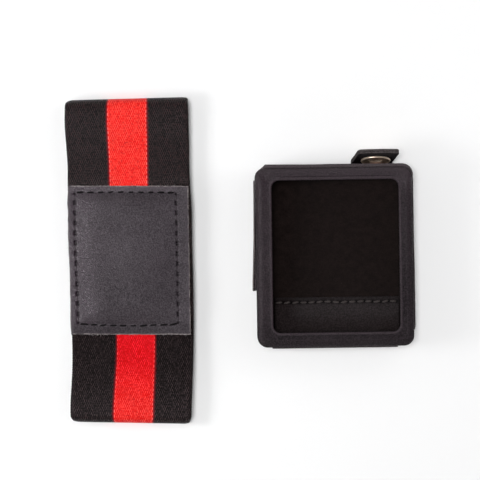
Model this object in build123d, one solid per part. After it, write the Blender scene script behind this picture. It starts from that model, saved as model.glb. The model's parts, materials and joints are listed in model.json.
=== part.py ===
from build123d import *
import math
import os

# Wrist pin cushion set: an elastic wristband with a sewn patch, and a hinged
# leather window case that rides on the band. Millimetres, +Z up, origin at the
# centre of the set's footprint, on the surface it rests on.

# ------------------------------------------------------------------ wristband
BAND_W = 35.0            # webbing width, along X
BAND_L = 92.8            # length of the loop lying flat, along Y
BAND_H = 7.3             # height of the loop lying flat
BAND_T = 1.2             # webbing thickness
BAND_X = -32.25          # middle of the band
BUTT_GAP = 0.4           # gap between the two butted ends, under the patch

PATCH_W = 34.3           # patch, along X
PATCH_L = 42.7           # patch, along Y
PATCH_Y = 0.1            # middle of the patch along the band
PATCH_X = BAND_X - 0.05
PATCH_T = 0.9            # leather thickness
PAD_T = 0.6
GUARD_T = 0.3
BACKING_T = 0.3
SEAM_W = 29.0            # stitched rectangle
SEAM_L = 37.8
SEAM_DX = -0.8           # the seam sits left of the patch's middle
SEAM_DY = 0.55
PAD_MARGIN = 1.6         # pad stops this far inside the seam
STITCH_PITCH = 2.9
STITCH_LEN = 2.2
STITCH_D = 0.45

# ----------------------------------------------------------------------- case
CASE_X = 26.41           # middle of the shell
CASE_Y = 0.80
CASE_W = 44.76           # shell, along X
CASE_L = 50.8            # shell, along Y
CASE_R = 3.0             # outer corner radius
CASE_TOP = 17.0          # height of the window frame's face

KEEPER_T = 1.0           # keeper leather
KEEPER_GAP = 1.6         # room for the webbing, in height
KEEPER_SLOT_W = 36.5     # room for the webbing, in width
KEEPER_L = 24.0          # keeper, along Y
KEEPER_FLANGE = 3.0

LEATHER_T = 0.9          # shell leather
CORE_T = 0.8             # shell board
LINING_T = 0.5           # shell felt
BACK_T = 1.0             # back panel leather
BOARD_T = 0.8
FELT_T = 0.6
STRIP_T = 0.7            # inner strip
JOINT_GAP = 0.10         # shell rim to back panel
FIT_GAP = 0.30           # shell lining to the raised back

WIN_W = 36.0             # window
WIN_L = 43.4
WIN_R = 2.0
WIN_TOP_BEZEL = 3.1      # width of the frame above the window
LIP_T = 0.6              # leather turned in round the window

FLAP_GAP = 0.25
FLAP_L_T = 0.80
FLAP_R_T = 0.71
FLAP_TOP = 12.6

TOPSTRIP_T = 1.0

HINGE_T = 0.45
HINGE_W = 36.0

# ---------------------------------------------------------- derived case levels
Z_BACK0 = KEEPER_T + KEEPER_GAP            # underside of the back panel
Z_BACK1 = Z_BACK0 + BACK_T
Z_BOARD1 = Z_BACK1 + BOARD_T
Z_FELT1 = Z_BOARD1 + FELT_T
Z_SHELL0 = Z_BACK1 + JOINT_GAP

X0 = CASE_X - CASE_W / 2
X1 = CASE_X + CASE_W / 2
Y0 = CASE_Y - CASE_L / 2
Y1 = CASE_Y + CASE_L / 2
WALL_T = LEATHER_T + CORE_T + LINING_T

WIN_X = CASE_X + 0.05
WIN_Y = Y1 - WIN_TOP_BEZEL - WIN_L / 2

# ----------------------------------------------------------------- snap and tab
SNAP_X = 38.2
SNAP_Z = 8.3
TAB_W = 12.0
TAB_T_OUT = 0.7
TAB_T_IN = 0.6
TAB_T = TAB_T_OUT + TAB_T_IN
TAB_CLOSED_Y = Y1 + TOPSTRIP_T + 0.5       # inner face of the closed tab
TAB_AXIS_Y = TAB_CLOSED_Y + TAB_T / 2
TAB_AXIS_Z = Z_BACK0 + BACK_T / 2
TAB_LEN = 11.5                             # from the fold line to the free end
TAB_ROOT_GAP = 0.8
TAB_SKEW = 1.3                             # the free end sits this far right
TAB_LEAN = 13.3                            # degrees open, as it lies at rest


def rrect(w, l, r):
    return RectangleRounded(w, l, r)


def slab(w, l, r, x, y, z0, z1):
    """Rounded rectangle plate from z0 to z1."""
    return extrude(Pos(x, y, z0) * rrect(w, l, r), z1 - z0)


def block(x0, x1, y0, y1, z0, z1):
    return Pos((x0 + x1) / 2, (y0 + y1) / 2, (z0 + z1) / 2) * Box(x1 - x0, y1 - y0, z1 - z0)


def ycyl(r, x, z, ya, yb):
    """Cylinder along Y."""
    return Pos(x, (ya + yb) / 2, z) * Rot(90, 0, 0) * Cylinder(r, yb - ya)


def save(shape, name):
    os.makedirs("parts", exist_ok=True)
    solids = shape.solids()
    out = solids[0] if len(solids) == 1 else Compound(children=list(solids))
    out.label = name
    export_step(out, "parts/" + name + ".step")
    return out


# ================================================================== wristband
def loop_section(grow):
    """Outline of the flattened loop in the YZ plane, grown inwards by grow."""
    h = BAND_H - 2 * grow
    l = BAND_L - 2 * grow
    return SlotOverall(l, h)


plane_band = Plane(origin=(BAND_X - BAND_W / 2, 0, BAND_H / 2), x_dir=(0, 1, 0), z_dir=(1, 0, 0))
band = extrude(plane_band * (loop_section(0) - loop_section(BAND_T)), BAND_W)
band -= block(BAND_X - 30, BAND_X + 30, PATCH_Y - BUTT_GAP / 2, PATCH_Y + BUTT_GAP / 2,
              BAND_H - BAND_T - 1, BAND_H + 1)
elastic_band = save(band, "elastic_band")

Z_EL = BAND_H
SEAM_X = PATCH_X + SEAM_DX
SEAM_Y = PATCH_Y + SEAM_DY
pad_w = SEAM_W - 2 * PAD_MARGIN
pad_l = SEAM_L - 2 * PAD_MARGIN
guard_plate = save(slab(pad_w, pad_l, 2.0, SEAM_X, SEAM_Y, Z_EL, Z_EL + GUARD_T), "guard_plate")
patch_pad = save(slab(pad_w, pad_l, 2.0, SEAM_X, SEAM_Y, Z_EL + GUARD_T, Z_EL + GUARD_T + PAD_T),
                 "patch_pad")

patch = slab(PATCH_W, PATCH_L, 0.6, PATCH_X, PATCH_Y, Z_EL, Z_EL + PATCH_T)
crown = slab(pad_w + 2.0, pad_l + 2.0, 3.0, SEAM_X, SEAM_Y, Z_EL + PATCH_T - 0.01,
             Z_EL + GUARD_T + PAD_T + PATCH_T)
patch = patch + crown
patch -= slab(pad_w, pad_l, 2.0, SEAM_X, SEAM_Y, Z_EL - 1, Z_EL + GUARD_T + PAD_T)
patch_leather = save(patch, "patch_leather")

Z_IN = BAND_H - BAND_T
patch_backing = save(slab(PATCH_W - 1.0, PATCH_L - 1.0, 1.0, PATCH_X, PATCH_Y, Z_IN - BACKING_T, Z_IN),
                     "patch_backing")


def seam_bars(cx, cy, w, l, pitch, length, d, z0):
    """Stitches of a rectangular seam, as small bars lying on the surface z0."""
    bars = []
    nx = round(w / pitch)
    ny = round(l / pitch)
    for sy in (-1, 1):
        for i in range(nx):
            x = cx - w / 2 + (i + 0.5) * w / nx
            bars.append(Pos(x, cy + sy * l / 2, z0 + d / 4) * Box(length, d, d / 2))
    for sx in (-1, 1):
        for i in range(ny):
            y = cy - l / 2 + (i + 0.5) * l / ny
            bars.append(Pos(cx + sx * w / 2, y, z0 + d / 4) * Box(d, length, d / 2))
    return bars


bars = seam_bars(SEAM_X, SEAM_Y, SEAM_W, SEAM_L, STITCH_PITCH, STITCH_LEN, STITCH_D, Z_EL + PATCH_T)
bars += seam_bars(SEAM_X, SEAM_Y, SEAM_W, SEAM_L, STITCH_PITCH, STITCH_LEN, STITCH_D,
                  Z_IN - BACKING_T - STITCH_D / 2)
patch_stitches = Compound(children=bars)
patch_stitches.label = "patch_stitches"
export_step(patch_stitches, "parts/patch_stitches.step")

# ================================================================== case, back
back = slab(CASE_W, CASE_L, CASE_R, CASE_X, CASE_Y, Z_BACK0, Z_BACK1)
# left flap, short: it stops where the lower left corner is left open
FLAP_L_Y0, FLAP_L_Y1 = -8.4, 22.6
FLAP_R_Y0, FLAP_R_Y1 = -20.0, 23.2


def flap(x_in, x_out, y0, y1, top):
    """Side flap in the YZ plane with rounded upper corners, joined to the back."""
    lo, hi = min(x_in, x_out), max(x_in, x_out)
    f = block(lo, hi, y0, y1, Z_BACK0, top)
    edges = [e for e in f.edges().filter_by(Axis.X) if e.center().Z > top - 0.01]
    f = fillet(edges, 2.0)
    return f


left_out = X0 - FLAP_GAP - FLAP_L_T
right_out = X1 + FLAP_GAP + FLAP_R_T
back += flap(X0 - FLAP_GAP, left_out, FLAP_L_Y0, FLAP_L_Y1, FLAP_TOP)
back += block(left_out, X0 + 1.0, FLAP_L_Y0, FLAP_L_Y1, Z_BACK0, Z_BACK1)
back += flap(X1 + FLAP_GAP, right_out, FLAP_R_Y0, FLAP_R_Y1, FLAP_TOP - 0.8)
back += block(X1 - 1.0, right_out, FLAP_R_Y0, FLAP_R_Y1, Z_BACK0, Z_BACK1)
# tongue that the snap tab folds up from
TAB_X0 = SNAP_X - TAB_W / 2 - 0.75
back += block(TAB_X0, TAB_X0 + TAB_W, Y1 - 1.0, TAB_AXIS_Y - 0.35, Z_BACK0, Z_BACK1)
back_leather = save(back, "back_leather")

raised_w = CASE_W - 2 * WALL_T - 2 * FIT_GAP
raised_l = CASE_L - 2 * WALL_T - 2 * FIT_GAP
raised_r = max(CASE_R - WALL_T - FIT_GAP, 0.6)
back_board = save(slab(raised_w, raised_l, raised_r, CASE_X, CASE_Y, Z_BACK1, Z_BOARD1), "back_board")
back_lining = save(slab(raised_w, raised_l, raised_r, CASE_X, CASE_Y, Z_BOARD1, Z_FELT1), "back_lining")

ISTRIP_X0, ISTRIP_X1 = 9.0, 43.6
ISTRIP_Y1 = -10.5
ISTRIP_Y0 = Y0 + WALL_T + FIT_GAP
istrip = block(ISTRIP_X0, ISTRIP_X1, ISTRIP_Y0, ISTRIP_Y1, Z_FELT1, Z_FELT1 + STRIP_T)
inner_strip = save(istrip, "inner_strip")

ROW_Y = -11.9
ROW_N = 13
ROW_PITCH = 2.7
row = []
row_x0 = (ISTRIP_X0 + ISTRIP_X1) / 2 - (ROW_N - 1) * ROW_PITCH / 2
for i in range(ROW_N):
    row.append(Pos(row_x0 + i * ROW_PITCH, ROW_Y, Z_FELT1 + STRIP_T + STITCH_D / 4)
               * Box(2.0, STITCH_D, STITCH_D / 2))
strip_stitches = Compound(children=row)
strip_stitches.label = "strip_stitches"
export_step(strip_stitches, "parts/strip_stitches.step")

# keeper: a bridge in the XZ plane, with a flange at each side sewn to the back
kx0 = CASE_X - KEEPER_SLOT_W / 2
kx1 = CASE_X + KEEPER_SLOT_W / 2
ky0 = CASE_Y - KEEPER_L / 2
ky1 = CASE_Y + KEEPER_L / 2
kp = block(kx0 - KEEPER_T, kx1 + KEEPER_T, ky0, ky1, 0, KEEPER_T)
for sx in (0, 1):
    wx0 = kx0 - KEEPER_T if sx == 0 else kx1
    kp += block(wx0, wx0 + KEEPER_T, ky0, ky1, 0, Z_BACK0)
    fx0 = kx0 - KEEPER_T - KEEPER_FLANGE if sx == 0 else kx1
    kp += block(fx0, fx0 + KEEPER_T + KEEPER_FLANGE, ky0, ky1, Z_BACK0 - KEEPER_T, Z_BACK0)
kp = kp.clean()
edges = [e for e in kp.edges().filter_by(Axis.Y) if e.center().Z < 0.01]
kp = fillet(edges, 0.6)
keeper = save(kp, "keeper")

ks = []
for fx in (kx0 - KEEPER_T - KEEPER_FLANGE / 2, kx1 + KEEPER_T + KEEPER_FLANGE / 2):
    n = 7
    for i in range(n):
        y = CASE_Y - (n - 1) * 3.1 / 2 + i * 3.1
        ks.append(Pos(fx, y, Z_BACK0 - KEEPER_T - STITCH_D / 4) * Box(STITCH_D, 2.3, STITCH_D / 2))
keeper_stitches = Compound(children=ks)
keeper_stitches.label = "keeper_stitches"
export_step(keeper_stitches, "parts/keeper_stitches.step")

# living hinge at the bottom edge, one leaf each side of the fold line
HINGE_Y = Y0
HINGE_Z = Z_BACK1 + JOINT_GAP / 2
hb = block(CASE_X - HINGE_W / 2, CASE_X + HINGE_W / 2, Y0, Y0 + 8.0, Z_BACK0 - HINGE_T, Z_BACK0)
hinge_leaf_back = save(hb, "hinge_leaf_back")
hf = block(CASE_X - HINGE_W / 2, CASE_X + HINGE_W / 2, Y0 - HINGE_T, Y0, Z_SHELL0 + 0.5, Z_SHELL0 + 6.0)
hinge_leaf_front = save(hf, "hinge_leaf_front")

# ================================================================= case, front
def inset(d):
    return CASE_W - 2 * d, CASE_L - 2 * d, max(CASE_R - d, 0.6)


def cup(d_out, d_in, z_top, plate_t):
    """Open-bottomed tray: walls between two insets of the outline, and a top plate."""
    w, l, r = inset(d_out)
    body = slab(w, l, r, CASE_X, CASE_Y, Z_SHELL0, z_top)
    w, l, r = inset(d_in)
    return body - slab(w, l, r, CASE_X, CASE_Y, Z_SHELL0 - 1, z_top - plate_t)


def window(grow, z0, z1):
    return slab(WIN_W + 2 * grow, WIN_L + 2 * grow, WIN_R + grow, WIN_X, WIN_Y, z0, z1)


d1 = LEATHER_T
d2 = d1 + CORE_T
d3 = d2 + LINING_T
z_core = CASE_TOP - LEATHER_T
z_line = z_core - CORE_T
z_ceil = z_line - LINING_T

post_hole = ycyl(1.2, SNAP_X, SNAP_Z, Y1 - 6, Y1 + 6)

leather = cup(0, d1, CASE_TOP, LEATHER_T)
rim = [e for e in leather.edges() if e.center().Z > CASE_TOP - 0.01]
leather = fillet(rim, 0.85)
leather -= window(LIP_T, 0, CASE_TOP + 5)
lip = window(LIP_T, z_ceil, CASE_TOP) - window(0, 0, CASE_TOP + 5)
leather = leather + lip
leather -= post_hole
shell_leather = save(leather, "shell_leather")

core = cup(d1, d2, z_core, CORE_T) - window(LIP_T, 0, 30) - post_hole
shell_core = save(core, "shell_core")
lining = cup(d2, d3, z_line, LINING_T) - window(LIP_T, 0, 30) - post_hole
shell_lining = save(lining, "shell_lining")

plan = make_face(Polyline((X0 + 1.3, Y1 - 0.7), (X0 + 0.7, Y1 - 0.35), (X0 + 2.3, Y1 + TOPSTRIP_T),
                          (X1 - 2.2, Y1 + TOPSTRIP_T), (X1 - 0.7, Y1 - 0.35), (X1 - 1.3, Y1 - 0.7),
                          close=True))
TS_Z0, TS_Z1 = 4.4, 16.1
ts = extrude(Pos(0, 0, TS_Z0) * plan, TS_Z1 - TS_Z0)
ts -= slab(CASE_W, CASE_L, CASE_R, CASE_X, CASE_Y, 0, 30)
ts -= post_hole
STUD_FLANGE_T = 0.3
ts -= ycyl(3.8, SNAP_X, SNAP_Z, Y1 + TOPSTRIP_T - STUD_FLANGE_T, Y1 + TOPSTRIP_T + 2)
top_strip = save(ts, "top_strip")

# snap stud: flush flange and a waisted nipple, hollow for the clenched post
YS = Y1 + TOPSTRIP_T
stud = ycyl(3.8, SNAP_X, SNAP_Z, YS - STUD_FLANGE_T, YS)
stud += ycyl(1.45, SNAP_X, SNAP_Z, YS, YS + 0.6)
stud += Pos(SNAP_X, YS + 0.85, SNAP_Z) * Rot(90, 0, 0) * Cylinder(1.7, 0.5)
stud += ycyl(1.5, SNAP_X, SNAP_Z, YS + 1.1, YS + 1.25)
stud -= ycyl(1.2, SNAP_X, SNAP_Z, YS - 2, YS + 0.4)
snap_stud = save(stud, "snap_stud")
Y_IN = Y1 - d3
eyelet = ycyl(3.2, SNAP_X, SNAP_Z, Y_IN - 0.4, Y_IN) + ycyl(1.2, SNAP_X, SNAP_Z, Y_IN, YS + 0.4)
snap_eyelet = save(eyelet, "snap_eyelet")


# ==================================================================== snap tab
def lean(shape):
    """Turn a shape drawn in the closed position out to the rest position."""
    return shape.rotate(Axis((0, TAB_AXIS_Y, TAB_AXIS_Z), (-1, 0, 0)), TAB_LEAN)


def tab_plate(ya, yb):
    z0 = TAB_AXIS_Z + TAB_ROOT_GAP
    z1 = TAB_AXIS_Z + TAB_LEN
    k0 = TAB_SKEW * TAB_ROOT_GAP / TAB_LEN
    pts = [(TAB_X0 + k0, z0), (TAB_X0 + TAB_W + k0, z0),
           (TAB_X0 + TAB_W + TAB_SKEW, z1), (TAB_X0 + TAB_SKEW, z1)]
    pl = Plane(origin=(0, yb, 0), x_dir=(1, 0, 0), z_dir=(0, -1, 0))
    f = make_face(Polyline(*pts, close=True))
    s = extrude(pl * f, yb - ya)
    top = [e for e in s.edges().filter_by(Axis.Y) if e.center().Z > z1 - 0.01]
    return fillet(top, 0.8)


# socket and cap sit on one axis, opposite the stud when the tab is closed
yc = TAB_CLOSED_Y
bore = ycyl(2.9, SNAP_X, SNAP_Z, yc - 2, yc + TAB_T + 2)
t_in = tab_plate(yc, yc + TAB_T_IN) - bore
t_out = tab_plate(yc + TAB_T_IN, yc + TAB_T) - bore
tab_lining = save(lean(t_in), "tab_lining")
tab_leather = save(lean(t_out), "tab_leather")

sock = ycyl(4.3, SNAP_X, SNAP_Z, yc - 0.25, yc) + ycyl(2.9, SNAP_X, SNAP_Z, yc, yc + 1.2)
sock -= ycyl(2.05, SNAP_X, SNAP_Z, yc - 1, yc + 0.85)
snap_socket = save(lean(sock), "snap_socket")

CAP_R = 4.6
cap_y = yc + TAB_T
CAP_RIM, CAP_H = 0.25, 0.9
dome_r = (CAP_R ** 2 + (CAP_H - CAP_RIM) ** 2) / (2 * (CAP_H - CAP_RIM))
dome_mid = CAP_H - dome_r + math.sqrt(dome_r ** 2 - (CAP_R / 2) ** 2)
cap_profile = make_face([
    Line((0, -0.1), (2.9, -0.1)),
    Line((2.9, -0.1), (2.9, 0)),
    Line((2.9, 0), (CAP_R, 0)),
    Line((CAP_R, 0), (CAP_R, CAP_RIM)),
    ThreePointArc((CAP_R, CAP_RIM), (CAP_R / 2, dome_mid), (0, CAP_H)),
    Line((0, CAP_H), (0, -0.1)),
])
cap = Pos(SNAP_X, cap_y, SNAP_Z) * revolve(cap_profile, Axis.Y)
snap_cap = save(lean(cap), "snap_cap")

print("hinge axis y,z:", round(HINGE_Y, 3), round(HINGE_Z, 3))
print("tab axis y,z:", round(TAB_AXIS_Y, 3), round(TAB_AXIS_Z, 3))
print("case x", round(X0, 3), round(X1, 3), "y", round(Y0, 3), round(Y1, 3))
print("flaps", round(left_out, 3), round(right_out, 3))
print("levels", Z_BACK0, Z_BACK1, Z_BOARD1, Z_FELT1, z_ceil, z_line, z_core)
print("window", WIN_X - WIN_W / 2, WIN_X + WIN_W / 2, WIN_Y - WIN_L / 2, WIN_Y + WIN_L / 2)
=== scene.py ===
import json
import math

import bpy
import numpy as np
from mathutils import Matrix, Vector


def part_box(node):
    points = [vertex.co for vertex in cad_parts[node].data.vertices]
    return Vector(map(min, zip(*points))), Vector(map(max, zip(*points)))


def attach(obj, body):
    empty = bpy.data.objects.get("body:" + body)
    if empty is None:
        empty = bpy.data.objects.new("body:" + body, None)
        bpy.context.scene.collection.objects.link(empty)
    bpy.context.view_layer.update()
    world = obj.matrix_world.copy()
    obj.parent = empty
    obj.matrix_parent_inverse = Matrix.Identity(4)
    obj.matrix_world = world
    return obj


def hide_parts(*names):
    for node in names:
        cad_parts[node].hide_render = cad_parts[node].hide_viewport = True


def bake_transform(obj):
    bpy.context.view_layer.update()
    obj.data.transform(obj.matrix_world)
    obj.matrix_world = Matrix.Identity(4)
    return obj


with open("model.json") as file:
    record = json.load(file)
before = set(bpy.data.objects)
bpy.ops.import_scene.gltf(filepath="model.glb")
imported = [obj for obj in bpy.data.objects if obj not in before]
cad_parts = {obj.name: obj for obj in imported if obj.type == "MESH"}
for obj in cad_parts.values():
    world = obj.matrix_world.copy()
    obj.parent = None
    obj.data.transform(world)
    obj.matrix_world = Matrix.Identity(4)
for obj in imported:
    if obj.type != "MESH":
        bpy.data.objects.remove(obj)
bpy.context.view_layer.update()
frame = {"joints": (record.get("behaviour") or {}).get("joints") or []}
MM = 0.001
TAU = 2 * math.pi


# =============================================================== numeric helpers
def _hash(ix, iy, iz, seed):
    h = (ix * 73856093) ^ (iy * 19349663) ^ (iz * 83492791) ^ (seed * 2654435761)
    h = h & 0xFFFFFFFF
    h = ((h ^ (h >> 13)) * 1274126177) & 0xFFFFFFFF
    h = h ^ (h >> 16)
    return h.astype(np.float64) / 4294967295.0 * 2 - 1


def noise(p, scale, seed=1):
    """Smooth value noise in [-1, 1] at points p (..., 3) in mm."""
    q = np.asarray(p, float) / scale
    i = np.floor(q).astype(np.int64)
    f = q - i
    w = f * f * f * (f * (f * 6 - 15) + 10)
    out = 0
    for dx in (0, 1):
        wx = w[..., 0] if dx else 1 - w[..., 0]
        for dy in (0, 1):
            wy = w[..., 1] if dy else 1 - w[..., 1]
            for dz in (0, 1):
                wz = w[..., 2] if dz else 1 - w[..., 2]
                out = out + wx * wy * wz * _hash(i[..., 0] + dx, i[..., 1] + dy, i[..., 2] + dz, seed)
    return out


def fbm(p, scale, seed=1, octaves=3):
    v, a, s = 0, 1.0, scale
    for k in range(octaves):
        v = v + a * noise(p, s, seed + 17 * k)
        a *= 0.5
        s *= 0.5
    return v / 1.75


def smooth(a, b, x):
    t = np.clip((np.asarray(x, float) - a) / (b - a), 0, 1)
    return t * t * (3 - 2 * t)


def curve_through(xs, ys, x, passes=0):
    """Smooth interpolation (monotone-ish cubic) through a few design points."""
    xs = np.asarray(xs, float)
    ys = np.asarray(ys, float)
    o = np.argsort(xs)
    xs, ys = xs[o], ys[o]
    x = np.clip(np.asarray(x, float), xs[0], xs[-1])
    h = np.diff(xs)
    d = np.diff(ys) / h
    m = np.empty_like(ys)
    m[1:-1] = (d[:-1] * h[1:] + d[1:] * h[:-1]) / (h[1:] + h[:-1])
    m[0], m[-1] = d[0], d[-1]
    k = np.clip(np.searchsorted(xs, x, side="right") - 1, 0, len(h) - 1)
    t = (x - xs[k]) / h[k]
    h00 = 2 * t**3 - 3 * t**2 + 1
    h10 = t**3 - 2 * t**2 + t
    h01 = -2 * t**3 + 3 * t**2
    h11 = t**3 - t**2
    return h00 * ys[k] + h10 * h[k] * m[k] + h01 * ys[k + 1] + h11 * h[k] * m[k + 1]


# ================================================================== mesh helpers
TURN = {"angle": 0.0, "about": (0.0, 0.0)}


def turned(V):
    """The soft case doesn't lie dead square: its pieces share one small turn about the vertical."""
    V = np.array(V, float).reshape(-1, 3)
    a = TURN["angle"]
    if a:
        cx, cy = TURN["about"]
        x, y = V[:, 0] - cx, V[:, 1] - cy
        V[:, 0] = cx + x * math.cos(a) - y * math.sin(a)
        V[:, 1] = cy + x * math.sin(a) + y * math.cos(a)
    return V


def build(name, V, quads=None, tris=None, mat=None, uv=None, attrs=None, smooth_shade=True):
    """Mesh object from vertices in mm. uv is (n, 2) per vertex; attrs are floats per vertex."""
    V = turned(V)
    idx, start, n = [], [], 0
    if quads is not None and len(quads):
        q = np.asarray(quads, np.int32).reshape(-1, 4)
        idx.append(q.ravel())
        start.append(np.arange(len(q)) * 4)
        n = len(q) * 4
    if tris is not None and len(tris):
        t = np.asarray(tris, np.int32).reshape(-1, 3)
        idx.append(t.ravel())
        start.append(n + np.arange(len(t)) * 3)
    idx = np.concatenate(idx).astype(np.int32)
    start = np.concatenate(start).astype(np.int32)
    me = bpy.data.meshes.new(name)
    me.vertices.add(len(V))
    me.vertices.foreach_set("co", (V * MM).astype(np.float32).ravel())
    me.loops.add(len(idx))
    me.loops.foreach_set("vertex_index", idx)
    me.polygons.add(len(start))
    me.polygons.foreach_set("loop_start", start)
    me.update(calc_edges=True)
    me.polygons.foreach_set("use_smooth", np.full(len(start), smooth_shade, dtype=bool))
    if uv is not None:
        layer = me.uv_layers.new(name="UVMap")
        layer.data.foreach_set("uv", np.asarray(uv, np.float32)[idx].ravel())
    for key, val in (attrs or {}).items():
        a = me.attributes.new(key, "FLOAT", "POINT")
        a.data.foreach_set("value", np.asarray(val, np.float32).ravel())
    me.validate()
    me.update()
    ob = bpy.data.objects.new(name, me)
    bpy.context.scene.collection.objects.link(ob)
    if mat is not None:
        me.materials.append(mat)
    return ob


def grid_quads(nu, nv, cu=False, cv=False, off=0, flip=False):
    iu = np.arange(nu if cu else nu - 1)
    iv = np.arange(nv if cv else nv - 1)
    U, W = np.meshgrid(iu, iv, indexing="ij")
    U2, W2 = (U + 1) % nu, (W + 1) % nv
    a, b, c, d = U * nv + W, U2 * nv + W, U2 * nv + W2, U * nv + W2
    q = np.stack([a, b, c, d] if not flip else [a, d, c, b], -1).reshape(-1, 4)
    return q + off


class Bag:
    """Collects several shells into one mesh."""

    def __init__(self):
        self.V, self.Q, self.T, self.UV, self.A, self.n = [], [], [], [], {}, 0

    def add(self, V, quads=None, tris=None, uv=None, **attrs):
        V = np.asarray(V, float).reshape(-1, 3)
        if quads is not None and len(quads):
            self.Q.append(np.asarray(quads, int).reshape(-1, 4) + self.n)
        if tris is not None and len(tris):
            self.T.append(np.asarray(tris, int).reshape(-1, 3) + self.n)
        self.UV.append(np.zeros((len(V), 2)) if uv is None else np.asarray(uv, float).reshape(-1, 2))
        for k in set(self.A) | set(attrs):
            col = self.A.setdefault(k, [np.zeros(self.n)] if self.n else [])
            val = attrs.get(k, 0.0)
            col.append(np.full(len(V), val) if np.isscalar(val) else np.asarray(val, float).ravel())
        self.V.append(V)
        self.n += len(V)

    def build(self, name, mat, smooth_shade=True):
        return build(name, np.concatenate(self.V), np.concatenate(self.Q) if self.Q else None,
                     np.concatenate(self.T) if self.T else None, mat, np.concatenate(self.UV),
                     {k: np.concatenate(v) for k, v in self.A.items()}, smooth_shade)


def closed_slab(top, bottom, bag, uv=None, top_attrs=None, wall_attr=None, rim=True):
    """A closed plate from two grids of the same shape (nu, nv, 3), with side walls."""
    nu, nv = top.shape[:2]
    n = nu * nv
    V = np.concatenate([top.reshape(-1, 3), bottom.reshape(-1, 3)])
    Q = [grid_quads(nu, nv), grid_quads(nu, nv, off=n, flip=True)]
    ring = ([(i, 0) for i in range(nu)] + [(nu - 1, j) for j in range(1, nv)]
            + [(i, nv - 1) for i in range(nu - 2, -1, -1)] + [(0, j) for j in range(nv - 2, 0, -1)])
    r = np.array([i * nv + j for i, j in ring])
    r2 = np.roll(r, -1)
    Q.append(np.stack([r, r + n, r2 + n, r2], -1))
    uvs = None if uv is None else np.concatenate([uv.reshape(-1, 2)] * 2)
    attrs = {}
    for k, v in (top_attrs or {}).items():
        attrs[k] = np.concatenate([np.asarray(v, float).ravel()] * 2)
    bag.add(V, np.concatenate(Q), uv=uvs, **attrs)


def lathe(profile, axis_point, axis_dir, seg=64, up=(0, 0, 1)):
    """Closed surface of revolution. profile is (r, h) from axis to axis. Returns verts, quads, tris."""
    a = np.asarray(axis_dir, float)
    a /= np.linalg.norm(a)
    u = np.cross(np.asarray(up, float), a)
    if np.linalg.norm(u) < 1e-6:
        u = np.cross((1, 0, 0), a)
    u /= np.linalg.norm(u)
    w = np.cross(a, u)
    prof = np.asarray(profile, float)
    th = np.arange(seg) / seg * TAU
    ring = np.cos(th)[:, None] * u + np.sin(th)[:, None] * w
    p0 = np.asarray(axis_point, float)
    inner = prof[1:-1]
    V = p0 + inner[:, None, 1, None] * a + inner[:, None, 0, None] * ring[None]
    V = V.reshape(-1, 3)
    m = len(inner)
    quads = grid_quads(m, seg, cv=True)
    caps = np.array([p0 + prof[0, 1] * a, p0 + prof[-1, 1] * a])
    base = len(V)
    V = np.concatenate([V, caps])
    j = np.arange(seg)
    j2 = (j + 1) % seg
    t1 = np.stack([np.full(seg, base), j, j2], -1)
    t2 = np.stack([np.full(seg, base + 1), (m - 1) * seg + j2, (m - 1) * seg + j], -1)
    return V, quads, np.concatenate([t1, t2])


def fillet_profile(pts, radii, n=6):
    """Rounds the corners of a polyline (r, h)."""
    pts = [np.asarray(p, float) for p in pts]
    out = [pts[0]]
    for i in range(1, len(pts) - 1):
        r = radii[i]
        if r <= 0:
            out.append(pts[i])
            continue
        a, b, c = pts[i - 1], pts[i], pts[i + 1]
        u, v = a - b, c - b
        lu, lv = np.linalg.norm(u), np.linalg.norm(v)
        u, v = u / lu, v / lv
        ang = math.acos(max(-1, min(1, float(u @ v))))
        if ang > math.pi - 1e-3 or ang < 1e-3:
            out.append(b)
            continue
        t = min(r / math.tan(ang / 2), 0.48 * lu, 0.48 * lv)
        rr = t * math.tan(ang / 2)
        mid = (u + v) / np.linalg.norm(u + v)
        cen = b + mid * (rr / math.sin(ang / 2))
        s, e = b + u * t, b + v * t
        a0, a1 = math.atan2(*(s - cen)[::-1]), math.atan2(*(e - cen)[::-1])
        d = (a1 - a0 + math.pi) % TAU - math.pi
        for k in range(n + 1):
            th = a0 + d * k / n
            out.append(cen + rr * np.array([math.cos(th), math.sin(th)]))
    out.append(pts[-1])
    return np.array(out)


def rr_ring(w, l, r, cx, cy, nc=12, nx=56, ny=64):
    """Points around a rounded rectangle, anticlockwise, always the same count and order."""
    r = max(r, 0.02)
    hw, hl = w / 2, l / 2
    out = []
    corners = [((hw - r, hl - r), 0), ((-hw + r, hl - r), 90), ((-hw + r, -hl + r), 180), ((hw - r, -hl + r), 270)]
    for k, ((x, y), a0) in enumerate(corners):
        for i in range(nc + 1):
            a = math.radians(a0 + 90 * i / nc)
            out.append((cx + x + r * math.cos(a), cy + y + r * math.sin(a)))
        nxt = corners[(k + 1) % 4]
        a1 = math.radians(nxt[1])
        p = out[-1]
        q = (cx + nxt[0][0] + r * math.cos(a1), cy + nxt[0][1] + r * math.sin(a1))
        m = nx if k % 2 == 0 else ny
        for i in range(1, m):
            t = i / m
            out.append((p[0] + (q[0] - p[0]) * t, p[1] + (q[1] - p[1]) * t))
    return np.array(out)


def arc_length(P, closed=False):
    Q = np.vstack([P, P[:1]]) if closed else P
    return np.concatenate([[0], np.cumsum(np.linalg.norm(np.diff(Q, axis=0), axis=1))])


def resample(P, n, closed=False):
    s = arc_length(P, closed)
    Q = np.vstack([P, P[:1]]) if closed else P
    t = np.linspace(0, s[-1], n + 1)[:-1] if closed else np.linspace(0, s[-1], n)
    return np.stack([np.interp(t, s, Q[:, k]) for k in range(P.shape[1])], -1)


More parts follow.
